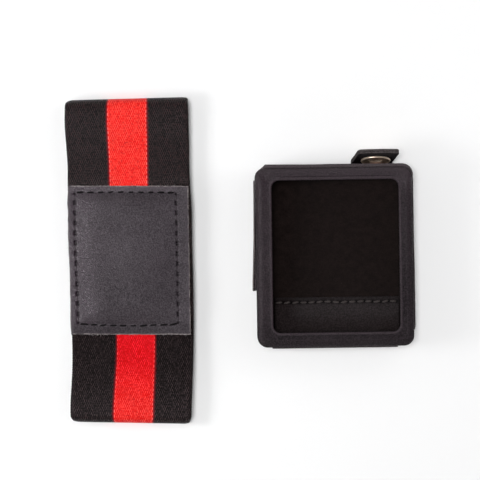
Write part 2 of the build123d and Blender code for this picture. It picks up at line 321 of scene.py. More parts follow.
def rrect_dist(x, y, w, l, r):
    """Signed distance to a rounded rectangle about the origin (negative inside)."""
    qx, qy = np.abs(x) - (w / 2 - r), np.abs(y) - (l / 2 - r)
    return np.hypot(np.maximum(qx, 0), np.maximum(qy, 0)) + np.minimum(np.maximum(qx, qy), 0) - r


# ============================================================== material helpers
class Mat:
    def __init__(self, name):
        self.mat = bpy.data.materials.new(name)
        self.mat.use_nodes = True
        self.t = self.mat.node_tree
        self.t.nodes.clear()
        self.out = self.t.nodes.new("ShaderNodeOutputMaterial")
        self.b = self.t.nodes.new("ShaderNodeBsdfPrincipled")
        self.t.links.new(self.b.outputs[0], self.out.inputs[0])

    def link(self, src, dst):
        self.t.links.new(src, dst)

    def node(self, kind, **kw):
        n = self.t.nodes.new("ShaderNode" + kind)
        for k, v in kw.items():
            setattr(n, k, v)
        return n

    def _put(self, sock, v):
        if isinstance(v, bpy.types.NodeSocket):
            self.link(v, sock)
        elif isinstance(v, (tuple, list)) and len(v) == 3 and sock.type == "RGBA":
            sock.default_value = (*v, 1)
        else:
            sock.default_value = v

    def math(self, op, a, b=0.0, c=None, clamp=False):
        n = self.node("Math", operation=op, use_clamp=clamp)
        self._put(n.inputs[0], a)
        if len(n.inputs) > 1:
            self._put(n.inputs[1], b)
        if c is not None:
            self._put(n.inputs[2], c)
        return n.outputs[0]

    def mix(self, f, a, b):
        n = self.node("Mix", data_type="RGBA")
        self._put(n.inputs[0], f)
        self._put(n.inputs[6], a)
        self._put(n.inputs[7], b)
        return n.outputs[2]

    def coords(self):
        return self.node("TexCoord").outputs["Object"]

    def scaled(self, vec, s):
        n = self.node("Mapping")
        self.link(vec, n.inputs["Vector"])
        n.inputs["Scale"].default_value = s if isinstance(s, (tuple, list)) else (s, s, s)
        return n.outputs[0]

    def noise(self, vec, scale, detail=2.0, rough=0.5, distortion=0.0):
        n = self.node("TexNoise")
        self.link(vec, n.inputs["Vector"])
        n.inputs["Scale"].default_value = scale
        n.inputs["Detail"].default_value = detail
        n.inputs["Roughness"].default_value = rough
        n.inputs["Distortion"].default_value = distortion
        return n.outputs["Fac"]

    def voronoi(self, vec, scale, feature="F1", rand=1.0, smoothness=None):
        n = self.node("TexVoronoi", feature=feature)
        self.link(vec, n.inputs["Vector"])
        n.inputs["Scale"].default_value = scale
        n.inputs["Randomness"].default_value = rand
        if smoothness is not None and "Smoothness" in n.inputs:
            n.inputs["Smoothness"].default_value = smoothness
        return n.outputs["Distance"]

    def ramp(self, f, stops):
        n = self.node("ValToRGB")
        cr = n.color_ramp
        while len(cr.elements) < len(stops):
            cr.elements.new(0.5)
        for e, (p, c) in zip(cr.elements, stops):
            e.position = p
            e.color = (*c, 1) if len(c) == 3 else c
        self.link(f, n.inputs[0])
        return n.outputs[0]

    def rng(self, f, a, b, c, d, clamp=True):
        n = self.node("MapRange", clamp=clamp)
        self._put(n.inputs[0], f)
        for i, v in enumerate((a, b, c, d)):
            n.inputs[i + 1].default_value = v
        return n.outputs[0]

    def bump(self, height, strength, distance, normal=None):
        n = self.node("Bump")
        n.inputs["Strength"].default_value = strength
        n.inputs["Distance"].default_value = distance
        self.link(height, n.inputs["Height"])
        if normal is not None:
            self.link(normal, n.inputs["Normal"])
        return n.outputs[0]

    def attr(self, name):
        return self.node("Attribute", attribute_name=name).outputs["Fac"]

    def set(self, **kw):
        names = {"color": "Base Color", "rough": "Roughness", "metal": "Metallic", "spec": "Specular IOR Level",
                 "sheen": "Sheen Weight", "sheen_rough": "Sheen Roughness", "sheen_tint": "Sheen Tint",
                 "coat": "Coat Weight", "coat_rough": "Coat Roughness", "normal": "Normal", "ior": "IOR"}
        for k, v in kw.items():
            self._put(self.b.inputs[names[k]], v)
        return self.mat


def leather_mat(name, base, vary=0.25, rough=(0.42, 0.6), cell=0.42, grain=0.5, spec=0.5, edge=(0.30, 0.28, 0.29),
                crease=0.35, depth=0.000045):
    """Fine-grain leather: small pebbles, pores, faint creases, with painted shade in the grain's valleys; 'raw' marks
    cut edges, the wear attribute lightens rubbed ridges and also paints highlights on rims and lips, and two more
    attributes paint shade: a soft darkening that also makes the leather matter, and a deep darkening in stitch holes.
    """
    m = Mat(name)
    co = m.coords()
    warp = m.node("TexNoise")
    m.link(co, warp.inputs["Vector"])
    warp.inputs["Scale"].default_value = 900
    warp.inputs["Detail"].default_value = 1.0
    add = m.node("VectorMath", operation="MULTIPLY_ADD")
    m.link(warp.outputs["Color"], add.inputs[0])
    add.inputs[1].default_value = (0.0005, 0.0005, 0.0005)
    m.link(co, add.inputs[2])
    wco = add.outputs[0]
    cells = m.voronoi(wco, 1000 / cell, "F1", 1.0)
    edgev = m.voronoi(wco, 1000 / cell, "DISTANCE_TO_EDGE", 1.0)
    pebble = m.rng(edgev, 0.0, 0.28, 0.0, 1.0)
    pores = m.rng(m.voronoi(co, 1000 / 1.3, "F1", 1.0), 0.03, 0.14, 0.0, 1.0)
    fine = m.noise(co, 5200, 3.0, 0.6)
    broad = m.noise(co, 230, 3.0, 0.55, 0.3)
    blotch = m.noise(co, 75, 2.0, 0.5)
    cre = m.noise(m.scaled(co, (1.0, 1.35, 1.0)), 420, 2.0, 0.6, 1.2)
    creases = m.rng(m.math("ABSOLUTE", m.math("SUBTRACT", cre, 0.5)), 0.0, 0.035, 0.0, 1.0)
    h = m.math("MULTIPLY", pebble, 0.55)
    h = m.math("ADD", h, m.math("MULTIPLY", fine, 0.45))
    h = m.math("ADD", h, m.math("MULTIPLY", pores, 0.35))
    h = m.math("ADD", h, m.math("MULTIPLY", creases, crease))
    h = m.math("ADD", h, m.math("MULTIPLY", cells, -0.2))
    mott = m.noise(co, 2300, 2.0, 0.6)
    h = m.math("ADD", h, m.math("MULTIPLY", mott, 0.8))
    nrm = m.bump(h, grain, depth)
    nrm = m.bump(broad, 0.25, 0.0005, nrm)
    v = m.math("ADD", m.math("MULTIPLY", blotch, 0.6), m.math("MULTIPLY", broad, 0.4))
    lo = tuple(c * (1 - vary) for c in base)
    hi = tuple(min(1, c * (1 + vary)) for c in base)
    col = m.mix(m.rng(v, 0.3, 0.7, 0, 1), lo, hi)
    # painted shade: the colour darkens in the grain's valleys between the pebbles
    col = m.mix(m.math("MULTIPLY", m.math("SUBTRACT", 1.0, pebble), 0.35), col, tuple(c * 0.45 for c in base))
    col = m.mix(m.math("MULTIPLY", m.rng(mott, 0.44, 0.59, 0.0, 1.0), 0.70), col, tuple(min(1, c * 2.15) for c in base))
    # the wear attribute lightens rubbed ridges, and paints highlights on rims and lips where the light catches them
    wear = m.attr("wear")
    rubbed_and_highlit = m.math("MULTIPLY", wear, m.rng(m.noise(co, 1900, 3.0, 0.7), 0.35, 0.65, 0.35, 1.0), clamp=True)
    col = m.mix(m.math("MULTIPLY", rubbed_and_highlit, 0.75), col, tuple(min(1, c * 2.4 + 0.012) for c in base))
    raw = m.attr("raw")
    fib = m.rng(m.noise(m.scaled(co, (1, 1, 1)), 3600, 3.0, 0.7), 0.36, 0.62, 0.0, 1.0)
    rawf = m.math("MULTIPLY", raw, fib, clamp=True)
    # painted shade: this attribute darkens the colour by up to 41 percent and makes the leather matter
    dull = m.attr("dull")
    dim = m.node("HueSaturation")
    m.link(col, dim.inputs["Color"])
    m.link(m.math("SUBTRACT", 1.0, m.math("MULTIPLY", dull, 0.41)), dim.inputs["Value"])
    col = dim.outputs[0]
    col = m.mix(rawf, col, edge)
    # painted shade: this attribute darkens the colour nearly to black and makes it matter, in stitch holes and over a
    # shaded part
    pit = m.attr("pit")
    col = m.mix(m.math("MULTIPLY", pit, 0.95, clamp=True), col, tuple(c * 0.05 for c in base))
    r = m.rng(m.math("ADD", m.math("MULTIPLY", mott, 0.7), m.math("MULTIPLY", blotch, 0.3)), 0.38, 0.62, rough[1], rough[0])
    r = m.math("ADD", r, m.math("MULTIPLY", raw, 0.3), clamp=True)
    r = m.math("ADD", r, m.math("MULTIPLY", dull, 0.26), clamp=True)
    r = m.math("ADD", r, m.math("MULTIPLY", pit, 0.4), clamp=True)
    return m.set(color=col, rough=r, spec=spec, normal=nrm)


def felt_mat(name, base, tip, sheen=0.25):
    """Short fuzzy felt: matted fibres in two directions, soft lint."""
    m = Mat(name)
    co = m.coords()
    f1 = m.noise(m.scaled(co, (1.0, 0.35, 1.0)), 4200, 4.0, 0.7, 0.6)
    f2 = m.noise(m.scaled(co, (0.35, 1.0, 0.6)), 3600, 4.0, 0.7, 0.6)
    mat = m.math("MAXIMUM", f1, f2)
    clump = m.noise(co, 700, 3.0, 0.6)
    h = m.math("ADD", m.math("MULTIPLY", mat, 0.8), m.math("MULTIPLY", clump, 0.5))
    col = m.mix(m.rng(h, 0.45, 0.95, 0, 1), base, tip)
    lint = m.rng(m.voronoi(m.scaled(co, (1.0, 0.6, 1.0)), 520, "F1", 1.0), 0.0, 0.045, 1.0, 0.0)
    col = m.mix(m.math("MULTIPLY", lint, 0.5), col, tuple(min(1, c * 4 + 0.01) for c in tip))
    nrm = m.bump(h, 0.9, 0.00025)
    return m.set(color=col, rough=m.rng(clump, 0.3, 0.7, 0.88, 1.0), spec=0.08, normal=nrm, sheen=sheen, sheen_rough=0.6)


def thread_mat(name, base, rough=0.5):
    """Spun polyester thread; its twist runs with the UVs (u along, v round)."""
    m = Mat(name)
    uv = m.node("UVMap", uv_map="UVMap").outputs[0]
    sep = m.node("SeparateXYZ")
    m.link(uv, sep.inputs[0])
    ph = m.math("ADD", m.math("MULTIPLY", sep.outputs[0], 3.4 * TAU), m.math("MULTIPLY", sep.outputs[1], 3 * TAU))
    tw = m.math("MULTIPLY_ADD", m.math("SINE", ph), 0.5, 0.5)
    fib = m.noise(m.coords(), 9000, 2.0, 0.6)
    h = m.math("ADD", m.math("MULTIPLY", tw, 0.8), m.math("MULTIPLY", fib, 0.3))
    # painted shade: darker in the grooves between the plies
    col = m.mix(m.rng(h, 0.1, 1.0, 0, 1), tuple(c * 0.35 for c in base), base)
    return m.set(color=col, rough=m.rng(fib, 0.3, 0.7, rough - 0.08, rough + 0.12), spec=0.14,
                 normal=m.bump(h, 0.8, 0.00006))


def board_mat(name, base):
    m = Mat(name)
    co = m.coords()
    f = m.noise(m.scaled(co, (1, 0.3, 1)), 2600, 4.0, 0.7)
    s = m.noise(co, 400, 3.0, 0.6)
    col = m.mix(m.rng(m.math("ADD", m.math("MULTIPLY", f, 0.6), m.math("MULTIPLY", s, 0.4)), 0.3, 0.7, 0, 1),
                tuple(c * 0.7 for c in base), tuple(min(1, c * 1.15) for c in base))
    return m.set(color=col, rough=m.rng(s, 0.3, 0.7, 0.8, 0.95), spec=0.3, normal=m.bump(f, 0.5, 0.0001))


def plastic_mat(name, base):
    m = Mat(name)
    co = m.coords()
    f = m.noise(co, 3000, 3.0, 0.6)
    s = m.noise(m.scaled(co, (1, 0.05, 1)), 2500, 2.0, 0.6)
    col = m.mix(m.rng(f, 0.3, 0.7, 0, 1), tuple(c * 0.85 for c in base), tuple(min(1, c * 1.1) for c in base))
    return m.set(color=col, rough=m.rng(s, 0.3, 0.7, 0.4, 0.6), spec=0.5, normal=m.bump(f, 0.25, 0.00005))


def metal_mat(name, base, dark, rough=(0.22, 0.42), metal=1.0):
    """Antique plated brass: tarnish in the recesses, fine turning marks, and rubbed ridges lightened by the wear
    attribute, which on the socket's lip paints its highlight.
    """
    m = Mat(name)
    co = m.coords()
    blot = m.noise(co, 900, 4.0, 0.65)
    fine = m.noise(co, 7000, 3.0, 0.6)
    # the wear attribute lightens rubbed ridges and, on the socket's lip, paints a highlight
    wear = m.attr("wear")
    tone = m.math("ADD", m.rng(blot, 0.3, 0.7, 0.0, 0.6), m.math("MULTIPLY", wear, 0.75), clamp=True)
    col = m.mix(tone, dark, base)
    r = m.rng(m.math("ADD", m.math("MULTIPLY", fine, 0.5), m.math("MULTIPLY", blot, 0.5)), 0.3, 0.7, rough[1], rough[0])
    return m.set(color=col, rough=r, metal=metal, normal=m.bump(fine, 0.25, 0.00004))


def webbing_mat(name, black, red, s0, cols_red, row, colw):
    """Woven elastic: columns of short floats, neighbouring columns staggered by half a pick, a coloured
    middle stripe of whole columns. The UVs hold the distance along and across in units of 100 mm."""
    m = Mat(name)
    uv = m.node("UVMap", uv_map="UVMap").outputs[0]
    sep = m.node("SeparateXYZ")
    m.link(uv, sep.inputs[0])
    co = m.coords()
    u = m.math("MULTIPLY", sep.outputs[0], 100.0)
    v = m.math("MULTIPLY", sep.outputs[1], 100.0)
    wob = m.noise(co, 420, 2.0, 0.5)
    wob2 = m.noise(co, 1100, 1.0, 0.5)
    speck = m.noise(co, 1950, 2.0, 0.6)
    # painted shade below the patch: this attribute darkens the yarns and the stripe's edge beads there and makes them
    # matter
    painted_shade_below_patch = m.attr("painted_shade_below_patch")
    u = m.math("ADD", u, m.math("MULTIPLY", m.math("SUBTRACT", wob, 0.5), 0.7))
    v = m.math("ADD", v, m.math("MULTIPLY", m.math("SUBTRACT", wob2, 0.5), 0.16))
    cc = m.math("DIVIDE", m.math("SUBTRACT", v, s0), colw)
    ci = m.math("FLOOR", cc)
    cf = m.math("SUBTRACT", m.math("SUBTRACT", cc, ci), 0.5)
    odd = m.math("MULTIPLY", m.math("FRACT", m.math("MULTIPLY", ci, 0.5)), 2.0)
    rr = m.math("ADD", m.math("DIVIDE", u, row), m.math("MULTIPLY", odd, 0.5))
    ri = m.math("FLOOR", rr)
    rf = m.math("SUBTRACT", m.math("SUBTRACT", rr, ri), 0.5)
    d2 = m.math("ADD", m.math("POWER", m.math("DIVIDE", cf, 0.62), 2.0), m.math("POWER", m.math("DIVIDE", rf, 0.36), 2.0))
    h = m.math("POWER", m.math("MAXIMUM", m.math("SUBTRACT", 1.0, d2), 0.0), 0.55)
    comb = m.node("CombineXYZ")
    m.link(ci, comb.inputs[0])
    m.link(ri, comb.inputs[1])
    wn = m.node("TexWhiteNoise", noise_dimensions="3D")
    m.link(comb.outputs[0], wn.inputs["Vector"])
    cell = wn.outputs["Value"]
    # yarn plies run along each float
    strand = m.math("MULTIPLY_ADD", m.math("SINE", m.math("ADD", m.math("MULTIPLY", cf, 30.0), m.math("MULTIPLY", rf, 7.0))), 0.5, 0.5)
    fib = m.noise(m.scaled(co, (1.0, 0.5, 1.0)), 7000, 3.0, 0.7)
    big = m.noise(co, 160, 3.0, 0.6)
    col_round = m.math("SUBTRACT", 1.0, m.math("MULTIPLY", m.math("POWER", m.math("MULTIPLY", cf, 2.0), 2.0), 1.0))
    hh = m.math("ADD", m.math("MULTIPLY", h, 0.30), m.math("MULTIPLY", col_round, 0.45))
    hh = m.math("ADD", hh, m.math("MULTIPLY", fib, 0.06))
    inside = m.math("MULTIPLY", m.math("GREATER_THAN", ci, -0.5), m.math("LESS_THAN", ci, cols_red - 0.5))
    edge = m.math("ADD", m.math("COMPARE", ci, 0.0, 0.4), m.math("COMPARE", ci, cols_red - 1.0, 0.4), clamp=True)
    outer = m.math("ADD", m.math("COMPARE", ci, -1.0, 0.5), m.math("COMPARE", ci, cols_red * 1.0, 0.5), clamp=True)
    # painted shade in the gaps between the floats, lighter on their crowns, with random tone from float to float
    shade = m.math("MULTIPLY", m.rng(h, 0.0, 0.9, 0.0, 1.0), m.rng(cell, 0, 1, 0.30, 1.0))
    shade = m.math("MULTIPLY", shade, m.rng(speck, 0.37, 0.62, 0.12, 1.45))
    tone = m.rng(big, 0.35, 0.65, 0.96, 1.04)
    kcol = m.mix(shade, tuple(c * 0.12 for c in black), tuple(c * 3.3 for c in black))
    kcol = m.mix(m.math("MULTIPLY", painted_shade_below_patch, 0.45, clamp=True), kcol, tuple(c * 0.15 for c in black))
    outer2 = m.math("ADD", m.math("COMPARE", ci, -2.0, 0.4), m.math("COMPARE", ci, cols_red + 1.0, 0.4), clamp=True)
    kcol = m.mix(m.math("MULTIPLY", outer2, m.rng(h, 0.1, 0.8, 0.9, 0.2)), kcol, (0.085, 0.0005, 0.003))
    kcol = m.mix(m.math("MULTIPLY", outer, m.rng(h, 0.2, 0.9, 1.0, 0.7)), kcol, (0.22, 0.0008, 0.004))
    # the red out of and in the painted shade below the patch
    red_out_of_shade = m.mix(m.math("POWER", shade, 0.8), (red[0] * 0.80, red[1] * 0.0, red[2] * 0.02), (min(1, red[0] * 1.06), red[1] * 3.2, red[2] * 2.8))
    red_in_painted_shade = m.mix(m.math("POWER", shade, 0.8), (red[0] * 0.56, red[1] * 0.0, red[2] * 0.0), (min(1, red[0] * 1.0), red[1] * 0.20, red[2] * 1.1))
    rcol = m.mix(painted_shade_below_patch, red_out_of_shade, red_in_painted_shade)
    prick = m.rng(m.noise(co, 1700, 1.0, 0.5), 0.31, 0.41, 0.55, 0.0)
    rcol = m.mix(prick, rcol, (red[0] * 0.50, 0.0, 0.004))
    rcol = m.mix(m.math("MULTIPLY", m.math("MULTIPLY", edge, m.math("MULTIPLY", m.rng(h, 0.15, 0.75, 0.0, 1.0), m.rng(cell, 0, 1, 0.45, 1.0))), m.rng(painted_shade_below_patch, 0.0, 1.0, 0.55, 0.18)), rcol, (0.93, 0.27, 0.25))
    col = m.mix(inside, kcol, rcol)
    hsv = m.node("HueSaturation")
    m.link(col, hsv.inputs["Color"])
    m.link(tone, hsv.inputs["Value"])
    nrm = m.bump(hh, 0.9, 0.00006)
    rr_ = m.rng(m.math("ADD", m.math("MULTIPLY", shade, 0.8), m.math("MULTIPLY", fib, 0.2)), 0.06, 0.72, 0.84, 0.22)
    rr_ = m.math("ADD", rr_, m.math("MULTIPLY", painted_shade_below_patch, 0.30), clamp=True)
    return m.set(color=hsv.outputs[0], rough=rr_, spec=0.20, normal=nrm, sheen=0.01, sheen_rough=0.45)


LEATHER = leather_mat("leather_shell", (0.0140, 0.0082, 0.0112), 0.22, (0.38, 0.68), 0.50, 1.0, spec=0.31, depth=0.00010, edge=(0.34, 0.30, 0.29))
LEATHER_PATCH = leather_mat("leather_patch", (0.0225, 0.0136, 0.0202), 0.28, (0.22, 0.66), 0.42, 0.9, spec=0.62, depth=0.00010, edge=(0.46, 0.41, 0.40), crease=0.12)
LEATHER_IN = leather_mat("leather_inner", (0.0130, 0.0092, 0.0096), 0.40, (0.50, 0.80), 0.50, 0.9, spec=0.26, depth=0.00007)
SUEDE = felt_mat("leather_flesh_side", (0.020, 0.018, 0.018), (0.05, 0.046, 0.046), 0.3)
FELT = felt_mat("felt_black", (0.0026, 0.0015, 0.0013), (0.0165, 0.0108, 0.0098), 0.03)
BACKCLOTH = felt_mat("backing_cloth", (0.012, 0.011, 0.011), (0.03, 0.028, 0.028), 0.2)
PADM = felt_mat("pad_felt", (0.10, 0.095, 0.09), (0.2, 0.19, 0.18), 0.3)
THREAD = thread_mat("thread_black", (0.0030, 0.0025, 0.0030), 0.70)
# lighter copies of the black thread: painted highlight where the thread is lit
THREAD_PAINTED_LIT = thread_mat("thread_black_painted_lit", (0.092, 0.078, 0.075), 0.60)
THREAD_SIDE_PAINTED_LIT = thread_mat("thread_black_painted_half_lit", (0.060, 0.046, 0.055), 0.55)
BOARD = board_mat("board_grey", (0.30, 0.26, 0.21))
SHEETM = plastic_mat("stiff_sheet", (0.12, 0.12, 0.125))
METAL = metal_mat("snap_metal", (0.90, 0.74, 0.59), (0.21, 0.125, 0.088), (0.26, 0.46), 0.74)
# a darker, browner copy of the snap metal, used for the stud
METAL_DARKER = metal_mat("snap_metal_darker_brown", (0.54, 0.34, 0.25), (0.12, 0.066, 0.047), (0.36, 0.58), 0.45)
ROW = 1.347
COLW = 11.655 / 37
WEB = webbing_mat("webbing_elastic", (0.0140, 0.0074, 0.0076), (0.97, 0.027, 0.021), 11.86, 36, ROW, COLW)

# ====================================================================== wristband
B0, B1 = [np.array(v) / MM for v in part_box("elastic_band")]
BAND_X = (B0[0] + B1[0]) / 2
BAND_H = B1[2]
BT = 1.2
HL = (B1[1] - B0[1]) / 2

# height of the upper layer's face along the band; it sinks where the seams pull it down
ZT_Y = [-46.4, -43.5, -40.0, -36.0, -31.5, -27.0, -24.5, -22.5, -20.5, -18.6, -16.0, -12.5, -9.0, -5.0, 1.0, 6.0, 10.0, 14.0, 17.0, 19.6, 21.5, 23.5, 27.0, 31.0, 36.0, 40.0, 43.3, 46.4]
ZT_Z = [7.05, 7.20, 7.28, 7.30, 7.18, 6.62, 6.14, 5.76, 5.66, 5.74, 6.16, 6.66, 6.70, 6.52, 6.25, 6.38, 6.70, 6.96, 6.92, 6.52, 6.60, 6.76, 6.80, 6.84, 7.05, 7.38, 7.62, 7.70]


def web_top(y):
    return curve_through(ZT_Y, ZT_Z, y)


LE_Y = [-46.5, -42.0, -38.0, -33.5, -29.0, -22.0, -10.0, 3.0, 14.0, 21.5, 27.0, 33.0, 39.0, 44.0, 46.6]
LE_X = [-49.15, -49.22, -49.05, -48.78, -48.66, -48.85, -49.28, -49.58, -49.85, -50.04, -50.05, -50.46, -50.87, -50.80, -50.65]
RE_Y = [-46.5, -42.0, -38.0, -33.5, -26.0, -15.0, -4.0, 5.0, 15.0, 21.5, 25.0, 33.0, 40.0, 44.0, 46.8]
RE_X = [-14.40, -14.34, -14.18, -14.04, -13.86, -13.78, -13.98, -14.22, -14.38, -14.80, -14.96, -15.07, -15.24, -15.36, -15.50]


def edge_left(y):
    return curve_through(LE_Y, LE_X, y) - 0.14


def edge_right(y):
    return curve_through(RE_Y, RE_X, y) - 0.16


def web_path():
    """Mid-thickness line of the loop in (y, z), anticlockwise seen from +X, starting on the lower layer."""
    hz = BT / 2
    pts = []
    zr = float(web_top(44.0)) - hz
    zl = float(web_top(-44.0)) - hz
    for y in np.linspace(-43.9, 43.9, 120):
        lift = 0.28 * (smooth(30, 43.9, abs(y)))
        pts.append((y, hz + lift * 0.6))
    c = (44.2, (hz + zr) / 2 + 0.05)
    for a in np.linspace(-80, 80, 40):
        pts.append((c[0] + (HL - hz - c[0] + 0.05) * math.cos(math.radians(a)), c[1] + (zr - hz) / 2 * 1.0 * math.sin(math.radians(a))))
    for y in np.linspace(43.9, -43.9, 300):
        pts.append((y, float(web_top(y)) - hz))
    c = (-44.2, (hz + zl) / 2 + 0.05)
    for a in np.linspace(100, 260, 40):
        pts.append((c[0] + (HL - hz + c[0] + 0.05) * math.cos(math.radians(a)), c[1] + (zl - hz) / 2 * math.sin(math.radians(a))))
    P = np.array(pts)
    P = resample(P, 1600, True)
    for _ in range(60):
        P = (np.roll(P, 1, 0) + 2 * P + np.roll(P, -1, 0)) / 4
    return P


def make_band():
    P = web_path()
    total = arc_length(P, True)[-1]
    rows = int(round(total / ROW))
    nu = rows * 8
    C = resample(P, nu, True)
    T = np.roll(C, -1, 0) - np.roll(C, 1, 0)
    T /= np.linalg.norm(T, axis=1)[:, None]
    N = np.stack([T[:, 1], -T[:, 0]], -1)          # outward from the loop
    u = np.arange(nu) / nu * rows * ROW
    # cross-section: v across 0..35, h through the thickness
    W = 35.0
    hz = BT / 2
    outer = np.linspace(0.55, W - 0.55, 40)
    sec = [(v, hz) for v in outer]
    for a in np.linspace(75, -75, 6):
        sec.append((W - 0.5 + 0.5 * math.cos(math.radians(a)), hz * math.sin(math.radians(a))))
    inner = np.linspace(W - 0.55, 0.55, 14)
    sec += [(v, -hz) for v in inner]
    for a in np.linspace(255, 105, 6):
        sec.append((0.5 + 0.5 * math.cos(math.radians(a)), hz * math.sin(math.radians(a))))
    sec = np.array(sec)
    nv = len(sec)
    v = sec[None, :, 0]
    h = sec[None, :, 1]
    y0 = C[:, 0][:, None]
    z0 = C[:, 1][:, None]
    upper = smooth(2.2, 4.6, z0)
    # the picks stand up as fine ribs; neighbouring ones differ a little
    ph = (np.arange(nu) % 4) / 4.0
    rib = np.cos(ph * TAU)[:, None]
    per = noise(np.stack([np.floor(np.arange(nu) / 4) * 3.1, np.zeros(nu), np.zeros(nu)], -1), 1.7, 5)[:, None]
    relief = (0.014 + 0.010 * per) * rib * np.sign(h + 1e-9) * (np.abs(h) > 0.3)
    cord = 0.05 * np.exp(-(((np.minimum(v, W - v) - 0.9) / 0.45) ** 2)) * (h > 0)   # thicker selvedge cord
    yy = y0 + N[:, 0][:, None] * (h + relief + cord)
    zz = z0 + N[:, 1][:, None] * (h + relief + cord)
    # loop skew: the right side is a little longer than the left
    k = (v - W / 2) / (W / 2)
    yy = np.where(yy > 0, yy * (46.62 + 0.47 * k) / 46.42, yy * (46.78 + 0.30 * k) / 46.42)
    # corners of the folds are drawn in
    edge_d = np.minimum(v, W - v)
    tuck = smooth(44.2, 46.6, np.abs(yy)) * np.clip(1 - edge_d / 1.9, 0, 1) ** 2
    yy = yy - np.sign(yy) * np.where(v < W / 2, 0.55, np.where(yy > 0, 0.28, 0.5)) * tuck
    lo_x = edge_left(yy) + 0.35 * (1 - upper)
    hi_x = edge_right(yy) - 0.35 * (1 - upper)
    tt = v / W
    xx = lo_x + (hi_x - lo_x) * tt
    pull = np.where((yy > 0) & (tt > 0.5), 0.12, 0.42) * smooth(44.4, 46.5, np.abs(yy))
    xx = xx - pull * (2 * tt - 1)
    xx = xx + (0.075 + 0.04 * per) * rib * np.where(tt < 0.02, -1, np.where(tt > 0.98, 1, 0))
    P3 = np.stack([xx, yy, zz], -1)
    # slow unevenness of the cloth
    wob = fbm(P3.reshape(-1, 3), 9.0, 21).reshape(xx.shape) * 0.10 * upper * smooth(0, 3, 46.4 - np.abs(yy))
    P3[..., 2] += wob * (h > -2)
    P3[..., 2] = np.maximum(P3[..., 2], 0.0)
    # the coloured stripe wanders a little along the loop
    drift = curve_through([-46.6, -35.0, -21.0, -8.0, 24.0, 36.0, 46.6], [0.64, 0.74, 0.87, 0.4, -0.10, 0.0, 0.10], yy) * upper
    nip = 1.0 + (curve_through([-46.6, -36.0, -21.0, -8.0, 24.0, 36.0, 46.6], [0.0, 0.02, 0.055, 0.055, 0.055, 0.03, 0.02], yy)) * upper
    uv = np.stack([np.broadcast_to(u[:, None] / 100, xx.shape), (17.53 + (v - drift - 17.53) * nip) / 100], -1)
    # close the UV seam by repeating the first ring
    P3c = np.concatenate([P3, P3[:1]])
    uvc = np.concatenate([uv, uv[:1] + np.array([rows * ROW / 100, 0])])
    q = grid_quads(nu + 1, nv, cv=True)
    # painted shade below the patch: the yarns there are darkened and made matter
    ty = P3c[..., 1]
    painted_shade_below_patch = smooth(-46.0, -26.0, ty) * smooth(-14.0, -18.0, ty) * 0.75 + 0.25 * smooth(-14.0, -18.0, ty)
    ob = build("elastic_webbing", P3c, q, mat=WEB, uv=uvc.reshape(-1, 2), attrs={"painted_shade_below_patch": painted_shade_below_patch.ravel()})
    return ob


def weld(ob, dist=1e-6):
    import bmesh
    bm = bmesh.new()
    bm.from_mesh(ob.data)
    bmesh.ops.remove_doubles(bm, verts=bm.verts, dist=dist)
    bm.to_mesh(ob.data)
    bm.free()
    ob.data.update()


band = make_band()
weld(band, 2e-6)
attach(band, "wristband")
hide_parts("elastic_band")


def web_surface(y, x=None):
    """Top of the webbing's upper layer, with its slow unevenness."""
    y = np.asarray(y, float)
    z = web_top(y)
    if x is not None:
        p = np.stack([np.asarray(x, float), y, z], -1)
        z = z + fbm(p.reshape(-1, 3), 9.0, 21).reshape(y.shape) * 0.10
    return z


# ------------------------------------------------------------------- the patch
PB0, PB1 = [np.array(v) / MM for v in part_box("patch_leather")]
PCX, PCY = (PB0[0] + PB1[0]) / 2, (PB0[1] + PB1[1]) / 2
PW, PL, PT = PB1[0] - PB0[0], PB1[1] - PB0[1], 0.9
SW, SL = 28.95, 37.7
SDX, SDY = -0.80, 0.55
SHEAR = 0.0165           # the sides lean, the ends stay square to the loop
CROWN = 1.02


PL_B = [-21.4, -18.8, -14.2, -5.0, -0.4, 4.2, 13.4, 17.9, 21.6]
PL_X = [-49.12, -49.32, -49.34, -49.45, -49.67, -49.92, -50.04, -50.14, -49.80]


def patch_xy(a, b):
    """Patch coordinates (from its centre) to x, y; its sides lean and the left one wanders."""
    x = PCX + a - SHEAR * b
    left = curve_through(PL_B, PL_X, b) - (PCX - PW / 2 - SHEAR * b)
    x = x + left * np.clip((-a - 12.0) / (PW / 2 - 12.0), 0, 1) ** 1.5
    x = x + 0.45 * np.clip((-a - 6.0) / 8.0, 0, 1) * np.clip((-b - 2.0) / 18.0, 0, 1) * np.clip((PW / 2 + a) / 2.0, 0, 1)
    return x, PCY + b - 0.002 * a


def seam_stations():
    """Stitch holes round the seam, as (a, b) at even pitch on each side."""
    nx, ny = 10, 13
    st = []
    x0, x1 = SDX - SW / 2, SDX + SW / 2
    y0, y1 = SDY - SL / 2, SDY + SL / 2
    rng = np.random.default_rng(7)
    sides = [((x0, y1), (x1, y1), nx), ((x1, y1), (x1, y0), ny), ((x1, y0), (x0, y0), nx), ((x0, y0), (x0, y1), ny)]
    for s, ((ax, ay), (bx, by), n) in enumerate(sides):
        bow = [0.10, 0.12, 0.55, -0.10][s]
        for i in range(n):
            t = i / n
            px, py = ax + (bx - ax) * t, ay + (by - ay) * t
            w = math.sin(math.pi * t)
            if s in (0, 2):
                py += (bow * w if s == 0 else -bow * w * (1 if t > 0 else 1)) + rng.normal(0, 0.05)
                if i:
                    px += rng.normal(0, 0.07)
            else:
                px += bow * w * (0.6) + rng.normal(0, 0.04)
                if i:
                    py += rng.normal(0, 0.07)
            st.append((px, py))
    return np.array(st)


